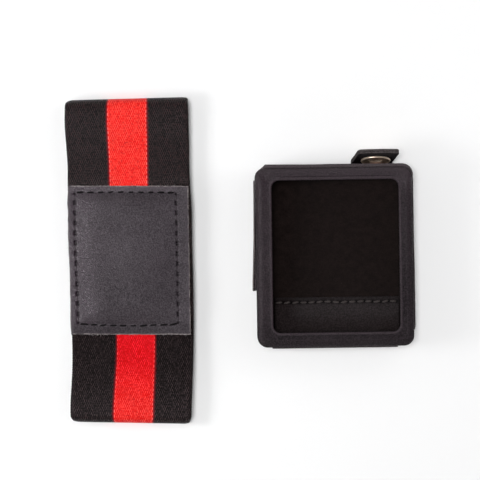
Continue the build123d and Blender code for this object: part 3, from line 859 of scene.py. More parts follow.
HOLES = seam_stations()
_nxt = np.roll(HOLES, -1, 0)
ENDS = np.array([(k // 10 == 0) or (23 <= k < 33) for k in range(len(HOLES))])     # rows across the band
PITS = np.concatenate([HOLES + (_nxt - HOLES) * 0.13, HOLES + (_nxt - HOLES) * 0.87])[np.concatenate([~ENDS, ~ENDS])]


def seam_distance(a, b):
    """Distance to the seam polyline, and whether the point is inside it."""
    P = HOLES
    Q = np.roll(P, -1, 0)
    best = np.full(a.shape, 1e9)
    for (px, py), (qx, qy) in zip(P, Q):
        dx, dy = qx - px, qy - py
        t = np.clip(((a - px) * dx + (b - py) * dy) / (dx * dx + dy * dy), 0, 1)
        best = np.minimum(best, np.hypot(a - px - t * dx, b - py - t * dy))
    inside = rrect_dist(a - SDX, b - SDY, SW, SL, 0.8) < 0
    return best, inside


def patch_crown(a, b):
    """How far the padded middle stands over the flat leather."""
    dl = np.clip((a - SDX) + SW / 2, 0, None)
    dr = np.clip(SW / 2 - (a - SDX), 0, None)
    dt = np.clip(SL / 2 - (b - SDY), 0, None)
    db = np.clip((b - SDY) + SL / 2, 0, None)
    rise = lambda d, w: 1 - np.exp(-d / w - 0.15 * (d / w) ** 2)
    wl = 3.0 - 1.4 * smooth(9.0, 1.5, db)                    # fuller in the corner nearest the light
    wb = 3.1 - 1.5 * smooth(9.0, 1.5, dl)
    c = rise(dl, wl) * rise(dr, 5.6) * rise(dt, 2.5) * rise(db, wb)
    return CROWN * c - 0.0016 * (a + 1.0) ** 2 * rise(dl, 2.5) * rise(dr, 2.5)


def patch_top(a, b):
    x, y = patch_xy(a, b)
    base = web_surface(y, x) + PT
    d, inside = seam_distance(a, b)
    z = base + patch_crown(a, b)
    z = z - 0.05 * np.exp(-((d / 0.45) ** 2))
    for hx, hy in HOLES:
        rr = np.hypot(a - hx, b - hy)
        z = z - 0.10 * np.exp(-((rr / 0.30) ** 2)) - 0.04 * np.exp(-((rr / 0.8) ** 2))
    for hx, hy in PITS:
        z = z - 0.55 * np.exp(-(((a - hx) ** 2 + (b - hy) ** 2) / 0.27**2))
    e = np.minimum(PW / 2 - np.abs(a), PL / 2 - np.abs(b))
    z = z - 0.16 * np.clip(1 - e / 0.35, 0, 1) ** 2.2       # rolled-over cut edge
    curl = 0.16 * smooth(2.2, 0.3, e) * (0.5 + 0.5 * np.sin(b * 0.21 + a * 0.13 + 1.0))
    z = z + curl * np.where(inside, 0, 1)
    p3 = np.stack([x, y, z], -1)
    z = z + 0.035 * fbm(p3.reshape(-1, 3), 3.2, 31).reshape(a.shape) * np.where(inside, 1.0, 0.5)
    z = z + 0.07 * fbm(p3.reshape(-1, 3), 11.0, 32, 2).reshape(a.shape) * np.where(inside, 1.0, 0.2)
    return x, y, z, e, inside


def axis_samples(length, step, dense_at, dense_step=0.11, dense_half=0.75):
    pts = set()
    n = int(round(length / step))
    for i in range(n + 1):
        pts.add(round(-length / 2 + length * i / n, 4))
    for c in dense_at:
        for k in np.arange(-dense_half, dense_half + 1e-6, dense_step):
            p = round(c + k, 4)
            if -length / 2 < p < length / 2:
                pts.add(p)
    for s in (-1, 1):
        for k in (0.05, 0.12, 0.22, 0.34):
            pts.add(round(s * (length / 2 - k), 4))
    out = sorted(pts)
    keep = [out[0]]
    for p in out[1:-1]:
        if p - keep[-1] > 0.045:
            keep.append(p)
    keep.append(out[-1])
    return np.array(keep)


def make_patch():
    A = axis_samples(PW, 0.22, (SDX - SW / 2, SDX + SW / 2), 0.085, 0.70)
    Bv = axis_samples(PL, 0.16, (SDY - SL / 2, SDY + SL / 2), 0.085, 0.70)
    a, b = np.meshgrid(A, Bv, indexing="ij")
    # ragged cut: the outline wanders a little
    x, y, z, e, inside = patch_top(a, b)
    ra = 0.07 * fbm(np.stack([b * 1.0, np.zeros_like(a), np.sign(a) * 9], -1), 2.3, 41) * np.clip(1 - (PW / 2 - np.abs(a)) / 1.2, 0, 1)
    rb = 0.07 * fbm(np.stack([a * 1.0, np.ones_like(a) * 5, np.sign(b) * 9], -1), 2.3, 42) * np.clip(1 - (PL / 2 - np.abs(b)) / 1.2, 0, 1)
    x = x + ra
    y = y + rb
    top = np.stack([x, y, z], -1)
    under = web_surface(y, x) + 0.03 + np.maximum(patch_crown(a, b) - 0.02, 0) * 1.0
    under = np.minimum(under, z - 0.35)
    bot = np.stack([x, y, under], -1)
    d, _ = seam_distance(a, b)
    raw = np.clip(1.35 - e / 0.26, 0, 1)
    side = np.where(PW / 2 + a < 0.5, 0.35, 1.0)
    fray = 0.5 + 0.5 * noise(np.stack([x, y, z], -1), 1.1, 55)
    raw = raw * side * np.clip(0.15 + 1.3 * fray, 0, 1)
    wear = 0.35 * np.exp(-(((e - 0.5) / 0.4) ** 2)) + 0.25 * smooth(0.2, 1.2, patch_crown(a, b)) * np.exp(-((d - 1.6) / 0.8) ** 2)
    # painted shade: the stitch holes darkened nearly to black
    pit = np.zeros_like(a)
    for hx, hy in PITS:
        pit = np.maximum(pit, np.clip(1.5 * np.exp(-(((a - hx) ** 2 + (b - hy) ** 2) / 0.27**2)), 0, 1))
    # painted shade: the right and bottom margins and the padded middle, more towards the bottom, are darkened and made
    # matter; a band inside the left seam is left undarkened
    out = np.where(inside, 0.0, 1.0)
    dull = 0.55 * out * smooth(PW / 2 - 5.0, PW / 2 - 2.5, a) + 0.98 * out * smooth(-PL / 2 + 4.0, -PL / 2 + 1.5, b) + (0.64 + 0.20 * smooth(4.0, -10.0, b)) * (1 - out) * smooth(-13.0, -6.5, a)
    bag = Bag()
    closed_slab(top, bot, bag, uv=np.stack([a / 100, b / 100], -1),
                top_attrs={"raw": np.clip(raw, 0, 1), "wear": np.clip(wear, 0, 1), "pit": np.clip(pit, 0, 1), "dull": np.clip(dull, 0, 1)})
    return bag.build("patch_leather_skin", LEATHER_PATCH)


patch = make_patch()
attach(patch, "wristband")
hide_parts("patch_leather")


def edge_fibres(name, mat, body, seed=3):
    """Short hairs of the leather's flesh side that stand out of the patch's raw cut edge."""
    rng = np.random.default_rng(seed)
    bag = Bag()
    runs = [("top", 70), ("right", 95), ("bottom", 90), ("left", 40)]
    for side, n in runs:
        for _ in range(n):
            t = rng.uniform(-0.5, 0.5)
            if side in ("top", "bottom"):
                a, b = t * PW, (PL / 2 if side == "top" else -PL / 2)
                out = np.array([rng.normal(0, 0.5), 1 if side == "top" else -1])
            else:
                a, b = (PW / 2 if side == "right" else -PW / 2), t * PL
                out = np.array([1 if side == "right" else -1, rng.normal(0, 0.5)])
            out = out / np.linalg.norm(out)
            x, y = patch_xy(np.array([a]), np.array([b]))
            z = float(web_surface(y, x)[0]) + rng.uniform(0.35, 0.8)
            p0 = np.array([x[0], y[0], z]) - np.array([*out, 0]) * 0.08
            L = rng.uniform(0.12, 0.42)
            mid = p0 + np.array([*out, rng.normal(0.1, 0.3)]) * L * 0.55
            end = p0 + np.array([*(out + rng.normal(0, 0.45, 2)), rng.normal(0.0, 0.4)]) * L
            end[2] = max(end[2], z - 0.3)
            r = rng.uniform(0.014, 0.028)
            tube(bag, np.array([p0, mid, end]), [r, r, r * 0.5], seg=4, raw=1.0)
    ob = bag.build(name, mat)
    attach(ob, body)
    return ob


def tube(bag, path, radii, seg=8, uv_len=0.01, **attrs):
    """A closed round tube along a short polyline."""
    P = np.asarray(path, float)
    n = len(P)
    T = np.gradient(P, axis=0)
    T /= np.linalg.norm(T, axis=1)[:, None] + 1e-12
    ref = np.array([0, 0, 1.0]) if abs(T[0][2]) < 0.9 else np.array([1.0, 0, 0])
    U = np.cross(T, ref)
    U /= np.linalg.norm(U, axis=1)[:, None] + 1e-12
    Wv = np.cross(T, U)
    th = np.arange(seg) / seg * TAU
    R = np.asarray(radii, float)[:, None, None]
    V = P[:, None] + R * (np.cos(th)[None, :, None] * U[:, None] + np.sin(th)[None, :, None] * Wv[:, None])
    s = arc_length(P)
    uv = np.stack([np.broadcast_to(s[:, None], (n, seg)), np.broadcast_to(th[None] / TAU, (n, seg))], -1)
    base = n * seg
    V = np.concatenate([V.reshape(-1, 3), P[:1] - T[:1] * radii[0] * 0.5, P[-1:] + T[-1:] * radii[-1] * 0.5])
    uvv = np.concatenate([uv.reshape(-1, 2), [[0, 0], [s[-1], 0]]])
    j = np.arange(seg)
    j2 = (j + 1) % seg
    t = np.concatenate([np.stack([np.full(seg, base), j2, j], -1), np.stack([np.full(seg, base + 1), (n - 1) * seg + j, (n - 1) * seg + j2], -1)])
    bag.add(V, grid_quads(n, seg, cv=True), t, uv=uvv, **attrs)


def stitch(bag, p, q, surf, r=0.22, dive=0.32, proud=0.08, seed=0, slant=0.0):
    """One stitch of thread from hole p to hole q over a surface: it rises out, lies flat and dives in."""
    p, q = np.asarray(p, float), np.asarray(q, float)
    d = q - p
    L = np.linalg.norm(d)
    d = d / L
    nrm = np.array([-d[1], d[0]])
    ts = np.array([0.045, 0.09, 0.16, 0.26, 0.4, 0.5, 0.6, 0.74, 0.84, 0.91, 0.955])
    lift = np.interp(ts, [0, 0.10, 0.24, 0.5, 0.76, 0.90, 1], [-dive, -dive * 0.45, proud * 0.7, proud, proud * 0.7, -dive * 0.45, -dive])
    pts = []
    for t, h in zip(ts, lift):
        c = p + d * L * t + nrm * slant * (t - 0.5)
        pts.append((c[0], c[1], h))
    pts = np.array(pts)
    xyz = surf(pts[:, 0], pts[:, 1])
    xyz[:, 2] += pts[:, 2]
    rad = r * np.interp(ts, [0, 0.12, 0.3, 0.5, 0.7, 0.88, 1], [0.75, 0.9, 1.0, 1.04, 1.0, 0.9, 0.75])
    tube(bag, xyz, rad, seg=10)


def make_patch_stitches():
    bag = Bag()
    lit = Bag()

    def surf_top(a, b):
        x, y = patch_xy(a, b)
        d, _ = seam_distance(a, b)
        z = web_surface(y, x) + PT - 0.16
        return np.stack([x, y, z], -1)

    rng = np.random.default_rng(11)
    n = len(HOLES)
    for k in range(n):
        p, q = HOLES[k], HOLES[(k + 1) % n]
        m0, m1 = p + (q - p) * 0.11, p + (q - p) * 0.89
        if ENDS[k]:
            near_, far_ = ((0.04, 0.10), (0.88, 0.95)) if k >= 20 else ((0.10, 0.18), (0.80, 0.90))
            m0, m1 = p + (q - p) * rng.uniform(*near_), p + (q - p) * rng.uniform(*far_)
            stitch(bag, m0, m1, surf_top, r=rng.uniform(0.23, 0.30), dive=0.52, proud=0.03, slant=rng.normal(0.16, 0.14))
        else:
            # down the sides the thread is drawn in at the foot of the padding, and painted lighter there: a painted
            # highlight
            stitch(lit, m0, m1, surf_top, r=0.14, dive=0.50, proud=0.06, slant=rng.normal(0.06, 0.04))

    # the same stitches on the wrist side, against the backing
    def surf_in(a, b):
        x, y = patch_xy(a, b)
        z = web_surface(y, x) - BT - 0.36
        return np.stack([x, y, z], -1)

    for k in range(n):
        p, q = HOLES[k], HOLES[(k + 1) % n]
        bag2 = Bag()
        stitch(bag2, p, q, surf_in, r=0.15, dive=-0.25, proud=-0.04)
        bag.add(bag2.V[0], bag2.Q[0], bag2.T[0], uv=bag2.UV[0])
    return bag.build("patch_seam_thread", THREAD), lit.build("patch_seam_thread_sides", THREAD_SIDE_PAINTED_LIT)


seam, seam_sides = make_patch_stitches()
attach(seam_sides, "wristband")
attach(seam, "wristband")
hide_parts("patch_stitches")

fibres = edge_fibres("patch_edge_fibres", leather_mat("leather_fibre", (0.16, 0.14, 0.14), 0.2, (0.8, 0.95), 0.4, 0.3, edge=(0.5, 0.47, 0.47)), "wristband")


def plate_grid(w, l, r, cx, cy, n=40, m=50):
    """A filled rounded rectangle as a grid that follows its outline."""
    s = np.linspace(-1, 1, n)
    t = np.linspace(-1, 1, m)
    S, T = np.meshgrid(s, t, indexing="ij")
    x, y = S * w / 2, T * l / 2
    qx, qy = np.abs(x) - (w / 2 - r), np.abs(y) - (l / 2 - r)
    k = np.hypot(np.maximum(qx, 0), np.maximum(qy, 0))
    f = np.where((qx > 0) & (qy > 0) & (k > 1e-9), np.maximum(qx, qy) / np.maximum(k, 1e-9), 1.0)
    x = np.where((qx > 0) & (qy > 0), np.sign(x) * ((w / 2 - r) + qx * f), x)
    y = np.where((qx > 0) & (qy > 0), np.sign(y) * ((l / 2 - r) + qy * f), y)
    return x + cx, y + cy


def make_pad():
    """Thin felted pad under the leather: crowned, thinner at its rim."""
    w, l = SW - 3.2, SL - 3.2
    x, y = plate_grid(w, l, 2.0, PCX + SDX, PCY + SDY, 60, 76)
    a = x - PCX + SHEAR * (y - PCY)
    b = y - PCY
    base = web_surface(y, x) + 0.33
    c = patch_crown(a, b)
    d = -rrect_dist(x - PCX - SDX, y - PCY - SDY, w, l, 2.0)
    top = base + np.maximum(np.minimum(c - 0.42, 0.75), 0.10) * smooth(-0.3, 1.6, d) + 0.02
    bag = Bag()
    closed_slab(np.stack([x, y, top], -1), np.stack([x, y, base], -1), bag)
    return bag.build("patch_pad_felt", PADM)


pad = make_pad()
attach(pad, "wristband")
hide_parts("patch_pad")


def thin_follow(name, w, l, r, cx, cy, z_lo, z_hi, mat, node, bump=0.0):
    x, y = plate_grid(w, l, r, cx, cy, 44, 54)
    s = web_surface(y, x)
    bag = Bag()
    t = np.stack([x, y, s + z_hi + bump * fbm(np.stack([x, y, s], -1), 2.5, 61)], -1)
    closed_slab(t, np.stack([x, y, s + z_lo], -1), bag)
    ob = bag.build(name, mat)
    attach(ob, "wristband")
    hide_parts(node)
    return ob


guard = thin_follow("guard_sheet", SW - 3.2, SL - 3.2, 2.0, PCX + SDX, PCY + SDY, 0.05, 0.32, SHEETM, "guard_plate")
backing = thin_follow("patch_backing_cloth", PW - 1.0, PL - 1.0, 1.0, PCX, PCY, -BT - 0.34, -BT - 0.05, BACKCLOTH, "patch_backing", 0.02)

# =========================================================================== case
S0, S1 = [np.array(v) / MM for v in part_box("shell_leather")]
CX, CY = (S0[0] + S1[0]) / 2, (S0[1] + S1[1]) / 2
TURN["angle"], TURN["about"] = 0.0145, (CX, CY)
# leather under tension gives a little: the sides draw in, the top stands out
X0, X1, Y0, Y1 = S0[0] - 0.04, S1[0] - 0.27, S0[1] + 0.22, S1[1] + 0.20
CX, CY, CW, CL = (X0 + X1) / 2, (Y0 + Y1) / 2, X1 - X0, Y1 - Y0
CR = 3.0
ZT = S1[2]
ZB = S0[2]
WX0, WX1, WY0, WY1 = 8.56, 44.52, -20.22, 22.98
WCX, WCY, WW, WL, WR = (WX0 + WX1) / 2, (WY0 + WY1) / 2, WX1 - WX0, WY1 - WY0, 2.1
BK0, BK1 = [np.array(v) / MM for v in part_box("back_board")]
FL0, FL1 = [np.array(v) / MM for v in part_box("back_lining")]
ZBK1 = BK0[2]            # top of the back panel's leather
ZFELT = FL1[2]


def ring_out(d):
    return rr_ring(CW - 2 * d, CL - 2 * d, max(CR - d, 0.5), CX, CY)


def ring_win(g):
    return rr_ring(WW + 2 * g, WL + 2 * g, WR + g, WCX, WCY)


def ring_mix(t, d, g):
    return ring_out(d) * (1 - t) + ring_win(g) * t


def loft(stations, close=True):
    """stations: list of (ring xy (n,2), z). Returns grid (m, n, 3)."""
    return np.stack([np.concatenate([r, np.full((len(r), 1), z)], 1) for r, z in stations])


def loft_z(stations):
    """As loft, but z may be an array per ring."""
    out = []
    for r, z in stations:
        zz = np.broadcast_to(np.asarray(z, float), (len(r),))
        out.append(np.concatenate([r, zz[:, None]], 1))
    return np.stack(out)


def make_shell_leather():
    st, wear, tag = [], [], []
    R = 1.75
    # inside hem, from its cut edge down to the wall's foot
    def put(ring, z, w=0.0):
        st.append((ring, z))
        wear.append(w)
    put(ring_out(2.12), ZB + 3.3)
    put(ring_out(2.33), ZB + 3.2)
    put(ring_out(2.36), ZB + 3.0)
    put(ring_out(2.36), ZB + 1.6)
    put(ring_out(2.34), ZB + 0.35)
    put(ring_out(2.20), ZB + 0.10)
    put(ring_out(1.95), ZB + 0.02)
    put(ring_out(1.1), ZB + 0.02)
    put(ring_out(0.35), ZB + 0.03)
    put(ring_out(0.12), ZB + 0.12, 0.3)
    put(ring_out(0.0), ZB + 0.4, 0.5)
    for z in np.linspace(ZB + 1.0, ZT - R, 14):
        put(ring_out(0.0), z)
    # the top edge, behind its facing, is folded sharper than the rest
    base_ring = ring_out(0.0)
    crisp = smooth(0.84, 1.0, (base_ring[:, 1] - CY) / (CL / 2))
    side_l = smooth(0.90, 0.99, -(base_ring[:, 0] - CX) / (CW / 2))
    side_r = smooth(0.90, 0.99, (base_ring[:, 0] - CX) / (CW / 2))
    side_b = smooth(0.90, 0.99, -(base_ring[:, 1] - CY) / (CL / 2))
    # painted highlight on the outer rim: lightest on the left, then the top, less on the right, darker at the bottom,
    # as the light falls
    rim_highlight = np.clip(0.10 + 0.55 * side_l + 0.40 * crisp + 0.12 * side_r - 0.10 * side_b, 0, 1)
    R2 = 0.92
    for a in np.linspace(8, 90, 13):
        ra = math.radians(a)
        w = rim_highlight * math.exp(-((a - 62) / 24) ** 2)
        rg = ring_out(R - R * math.cos(ra)) * (1 - crisp)[:, None] + ring_out(R2 - R2 * math.cos(ra)) * crisp[:, None]
        zz = (ZT - R + R * math.sin(ra)) * (1 - crisp) + (ZT - R2 + R2 * math.sin(ra)) * crisp
        put(rg, zz, w)
    rim_ring = ring_out(R) * (1 - crisp)[:, None] + ring_out(R2) * crisp[:, None]
    # the frame's face: dips a little, then a low bead round the window
    for t, z, w in [(0.12, -0.02, 0.25), (0.28, -0.07, 0.05), (0.45, -0.12, 0), (0.60, -0.16, 0), (0.72, -0.185, 0), (0.80, -0.195, 0.0)]:
        put(rim_ring * (1 - t) + ring_win(0.62) * t, ZT + z, w)
    # the wear values on the bead round the window paint a highlight along its lip
    put(ring_win(1.00), ZT - 0.20, 0.0)
    put(ring_win(0.86), ZT - 0.195, 0.15)
    put(ring_win(0.72), ZT - 0.18, 0.4)
    put(ring_win(0.56), ZT - 0.17, 0.8)
    put(ring_win(0.40), ZT - 0.17, 1.0)
    put(ring_win(0.25), ZT - 0.19, 1.0)
    put(ring_win(0.12), ZT - 0.25, 0.7)
    put(ring_win(0.04), ZT - 0.36, 0.3)
    put(ring_win(0.0), ZT - 0.5, 0.0)
    put(ring_win(-0.02), ZT - 1.0)
    put(ring_win(0.0), ZT - 1.5)
    put(ring_win(0.02), ZT - 1.95)
    put(ring_win(0.10), ZT - 2.15)
    put(ring_win(0.35), ZT - 2.22)
    put(ring_win(0.62), ZT - 2.22)
    P = loft_z(st)
    m, n = P.shape[:2]
    # inner side of the skin: back up inside, hidden by board and felt
    back = []
    back.append((ring_win(0.62), ZT - 0.95))
    back.append((ring_out(0.95), ZT - 0.95))
    back.append((ring_out(0.92), ZB + 0.9))
    back.append((ring_out(1.05), ZB + 0.42))
    back.append((ring_out(1.95), ZB + 0.40))
    back.append((ring_out(2.08), ZB + 0.7))
    back.append((ring_out(2.08), ZB + 3.2))
    Pb = loft_z(back)
    G = np.concatenate([P, Pb])
    # slight hand-made unevenness, only where it shows
    w = np.concatenate([np.ones(m), np.zeros(len(back))])[:, None]
    z = G[..., 2]
    lowfade = smooth(ZB + 0.5, ZB + 3.0, z) * w
    nx_ = (G[..., 0] - CX) / (CW / 2)
    ny_ = (G[..., 1] - CY) / (CL / 2)
    d1 = fbm(G.reshape(-1, 3), 7.0, 71).reshape(z.shape) * 0.09
    d2 = fbm(G.reshape(-1, 3), 2.2, 72).reshape(z.shape) * 0.022
    side = np.maximum(np.abs(nx_), np.abs(ny_))
    outward = np.stack([np.where(np.abs(nx_) > np.abs(ny_), np.sign(nx_), 0), np.where(np.abs(nx_) > np.abs(ny_), 0, np.sign(ny_))], -1)
    wall = smooth(0.93, 0.985, side) * lowfade * smooth(ZT, ZT - 2.5, z)
    G[..., :2] -= outward * (np.abs(d1 + d2) * wall)[..., None]
    face = smooth(ZT - 1.6, ZT - 0.3, z) * w
    G[..., 2] += (d1 * 0.55 + d2 * 0.8 - 0.03) * face
    # the top and bottom members lean in towards the window, the right one out
    tin = np.concatenate([np.repeat(0.0, m), np.zeros(len(back))])[:, None] + 0 * z
    dist_out = np.minimum(np.minimum(G[..., 0] - X0, X1 - G[..., 0]), np.minimum(G[..., 1] - Y0, Y1 - G[..., 1]))
    tin = smooth(0.8, 4.2, dist_out) * w * smooth(ZT - 1.6, ZT - 0.3, z)
    G[..., 2] -= tin * (0.36 * smooth(0.35, 0.98, ny_) + 0.22 * smooth(0.45, 0.98, -ny_)) - tin * 0.10 * smooth(0.4, 0.95, nx_)
    # the upper left corner is pushed out square by the facing's end
    cor = smooth(0.80, 0.95, -nx_) * smooth(0.84, 0.96, ny_) * smooth(2.4, 1.2, dist_out)
    G[..., 0] -= 0.34 * cor
    G[..., 1] += 0.14 * cor
    # the frame sags a hair at the middle of its long sides and stands up at the corners
    G[..., 2] -= 0.14 * face * (1 - smooth(0.2, 1.0, np.abs(ny_))) * (np.abs(nx_) > 0.78)
    q = grid_quads(G.shape[0], n, cu=True, cv=True)
    W = np.stack([np.broadcast_to(np.asarray(v, float), (n,)) for v in wear] + [np.zeros(n)] * len(back))
    # painted shade: darker and matter towards the foot of the frame and down its right side
    dull = np.clip(0.95 * smooth(-0.55, -0.92, ny_) + 0.80 * smooth(0.55, 0.86, nx_) * (1 - smooth(0.55, 0.9, ny_)) + 0.25 * smooth(0.3, -0.5, ny_), 0, 1)
    dull = dull * (1 - smooth(0.70, 0.95, ny_)) * (1 - 0.8 * W)
    # the wear attribute is raised over the top member and lowered on the left: painted light, the top lit brighter
    return build("shell_leather_skin", G.reshape(-1, 3), q, mat=LEATHER, attrs={"wear": np.clip(W + 0.42 * smooth(0.45, 0.9, ny_) - 0.10 * smooth(0.5, 0.9, -nx_), 0, 1).ravel(), "raw": np.zeros(W.size), "dull": dull.ravel()})


shell = make_shell_leather()
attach(shell, "front_shell")
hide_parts("shell_leather")


def ring_solid(name, loop, mat, node, body, rough=0.0, seed=81):
    """A closed solid swept round the case: loop is a closed list of (ring, z)."""
    G = loft_z(loop)
    if rough:
        G[..., 2] += rough * fbm(G.reshape(-1, 3), 1.6, seed).reshape(G.shape[:2]) * 0.5
        c = np.array([CX, CY])
        v = G[..., :2] - c
        v /= np.linalg.norm(v, axis=-1, keepdims=True)
        G[..., :2] += v * (rough * fbm(G.reshape(-1, 3), 1.9, seed + 1).reshape(G.shape[:2]))[..., None]
    q = grid_quads(G.shape[0], G.shape[1], cu=True, cv=True)
    ob = build(name, G.reshape(-1, 3), q, mat=mat)
    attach(ob, body)
    if node:
        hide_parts(node)
    return ob


core_loop = [(ring_out(0.98), ZB + 0.5), (ring_out(0.98), ZT - 1.02), (ring_mix(0.5, 1.8, 0.66), ZT - 1.0), (ring_win(0.66), ZT - 1.0),
             (ring_win(0.66), ZT - 1.66), (ring_mix(0.5, 1.8, 0.66), ZT - 1.66), (ring_out(1.66), ZT - 1.66), (ring_out(1.66), ZB + 0.5)]
shell_board = ring_solid("shell_board_frame", core_loop, BOARD, "shell_core", "front_shell")

lin = [(ring_out(1.74), ZB + 0.55), (ring_out(2.06), ZB + 0.55)]
for z in np.linspace(ZB + 0.8, ZT - 2.9, 16):
    lin.append((ring_out(2.2 if z > ZB + 3.5 else 2.06), z))
lin += [(ring_out(2.26), ZT - 2.45), (ring_out(2.45), ZT - 2.24), (ring_mix(0.4, 2.3, 0.66), ZT - 2.2), (ring_win(0.66), ZT - 2.2),
        (ring_win(0.66), ZT - 1.76), (ring_mix(0.4, 2.3, 0.66), ZT - 1.76), (ring_out(1.74), ZT - 1.76)]
lining = ring_solid("shell_felt_lining", lin, FELT, "shell_lining", "front_shell", rough=0.05, seed=85)


# --------------------------------------------------------------- back, inner face
def plate_closed(name, w, l, r, cx, cy, z0, z1, mat, node, body, slot, zfun=None, n=70, m=80, edge_r=0.15, replaces=True, **at):
    """A thin plate with a softly rounded rim, its top shaped by zfun."""
    x, y = plate_grid(w, l, r, cx, cy, n, m)
    d = -rrect_dist(x - cx, y - cy, w, l, r)
    roll = edge_r * np.clip(1 - d / edge_r, 0, 1) ** 2
    top = z1 - roll + (zfun(x, y, d) if zfun else 0)
    bot = np.full_like(top, z0) + roll * 0.6
    bag = Bag()
    ones = {k: np.full(x.shape, v) for k, v in at.items()}
    closed_slab(np.stack([x, y, top], -1), np.stack([x, y, bot], -1), bag, top_attrs=ones)
    ob = bag.build(name, mat)
    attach(ob, body)
    if node and replaces:
        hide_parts(node)
    return ob


def felt_relief(x, y, d):
    p = np.stack([x, y, np.zeros_like(x)], -1)
    return 0.05 * fbm(p, 0.9, 91) + 0.06 * fbm(p, 5.0, 92) - 0.02


felt_back = plate_closed("back_felt", FL1[0] - FL0[0], FL1[1] - FL0[1], 0.8, (FL0[0] + FL1[0]) / 2, (FL0[1] + FL1[1]) / 2, FL0[2], ZFELT - 0.03,
                         FELT, "back_lining", "case_back", "felt", felt_relief, 150, 170)
board_back = plate_closed("back_stiffener", BK1[0] - BK0[0], BK1[1] - BK0[1], 0.8, (BK0[0] + BK1[0]) / 2, (BK0[1] + BK1[1]) / 2, BK0[2] + 0.01, BK1[2] - 0.02,
                          BOARD, "back_board", "case_back", "board", None, 30, 34)

# the strip over the lower back, with its row of stitches
I0, I1 = [np.array(v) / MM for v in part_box("inner_strip")]
ROWY = -11.9
RN, RP = 15, 2.35
RX0 = (I0[0] + I1[0]) / 2 + 0.5 - RN * RP / 2
rng_row = np.random.default_rng(23)
ROWPTS = np.array([(RX0 + i * RP + rng_row.normal(0, 0.06), ROWY + 0.10 * math.sin(i * 1.3) + rng_row.normal(0, 0.05)) for i in range(RN + 1)])


def strip_z(x, y):
    z = np.full(np.shape(x), I1[2], float)
    dy = y - ROWY
    z = z - 0.06 * np.exp(-((dy / 0.55) ** 2))
    for hx, hy in ROWPTS:
        z = z - 0.42 * np.exp(-(((x - hx) ** 2 + (y - hy) ** 2) / 0.42**2))
    z = z + 0.03 * np.exp(-(((dy - 0.95) / 0.55) ** 2))             # puffed lip above the seam
    z = z + 0.07 * smooth(-1.0, -4.0, dy) * np.sin(np.clip((y - I0[1]) / 9.5, 0, 1) * math.pi) ** 0.8
    p = np.stack([x, y, np.zeros_like(x)], -1)
    return z + 0.05 * fbm(p, 3.0, 95) + 0.02 * fbm(p, 1.1, 96)


def make_strip():
    xs = np.linspace(I0[0] + 0.15, I1[0] + 1.35, 236)
    ys = np.linspace(I0[1], I1[1], 96)
    x, y = np.meshgrid(xs, ys, indexing="ij")
    ex = np.minimum(x - xs[0], xs[-1] - x)
    ey = I1[1] - y
    z = strip_z(x, y)
    e = np.minimum(ex, ey)
    z = z - 0.22 * np.clip(1 - e / 0.4, 0, 1) ** 2
    y2 = y + 0.05 * fbm(np.stack([x, np.zeros_like(x), np.zeros_like(x)], -1), 3.0, 97) * smooth(3, 0, ey)
    raw = np.clip(1 - e / 0.28, 0, 1) * 0.04
    # painted shade: the stitch holes darkened
    pit = np.zeros_like(x)
    for hx, hy in ROWPTS:
        pit = np.maximum(pit, np.exp(-(((x - hx) ** 2 + (y - hy) ** 2) / 0.46**2)))
    # painted shade: darker and matter above the stitch row, and somewhat all over
    dull = 0.9 * smooth(-1.2, 0.4, y - ROWY)
    bag = Bag()
    closed_slab(np.stack([x, y2, z], -1), np.stack([x, y2, np.full_like(z, I0[2] + 0.02)], -1), bag,
                top_attrs={"raw": raw, "wear": 0.10 * np.exp(-(((e - 0.4) / 0.3) ** 2)), "pit": pit * 0.9, "dull": np.clip(dull + 0.45, 0, 1)})
    return bag.build("inner_strip_leather", LEATHER_IN)


istrip = make_strip()
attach(istrip, "case_back")
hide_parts("inner_strip")

bag = Bag()
for i in range(RN):
    p, q = ROWPTS[i], ROWPTS[i + 1]
    stitch(bag, p + (q - p) * 0.13, p + (q - p) * 0.87, lambda a, b: np.stack([a, b, np.full(np.shape(a), I1[2] - 0.10)], -1), r=0.27, dive=0.50, proud=0.12, slant=rng_row.normal(0.2, 0.12))
# the strip's row uses the lighter, painted lit copy of the black thread
row_thread = bag.build("strip_thread", THREAD_PAINTED_LIT)
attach(row_thread, "case_back")
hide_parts("strip_stitches")

# ------------------------------------------------------- back panel and its flaps
K0, K1 = [np.array(v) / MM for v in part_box("back_leather")]
ZP0 = K0[2]


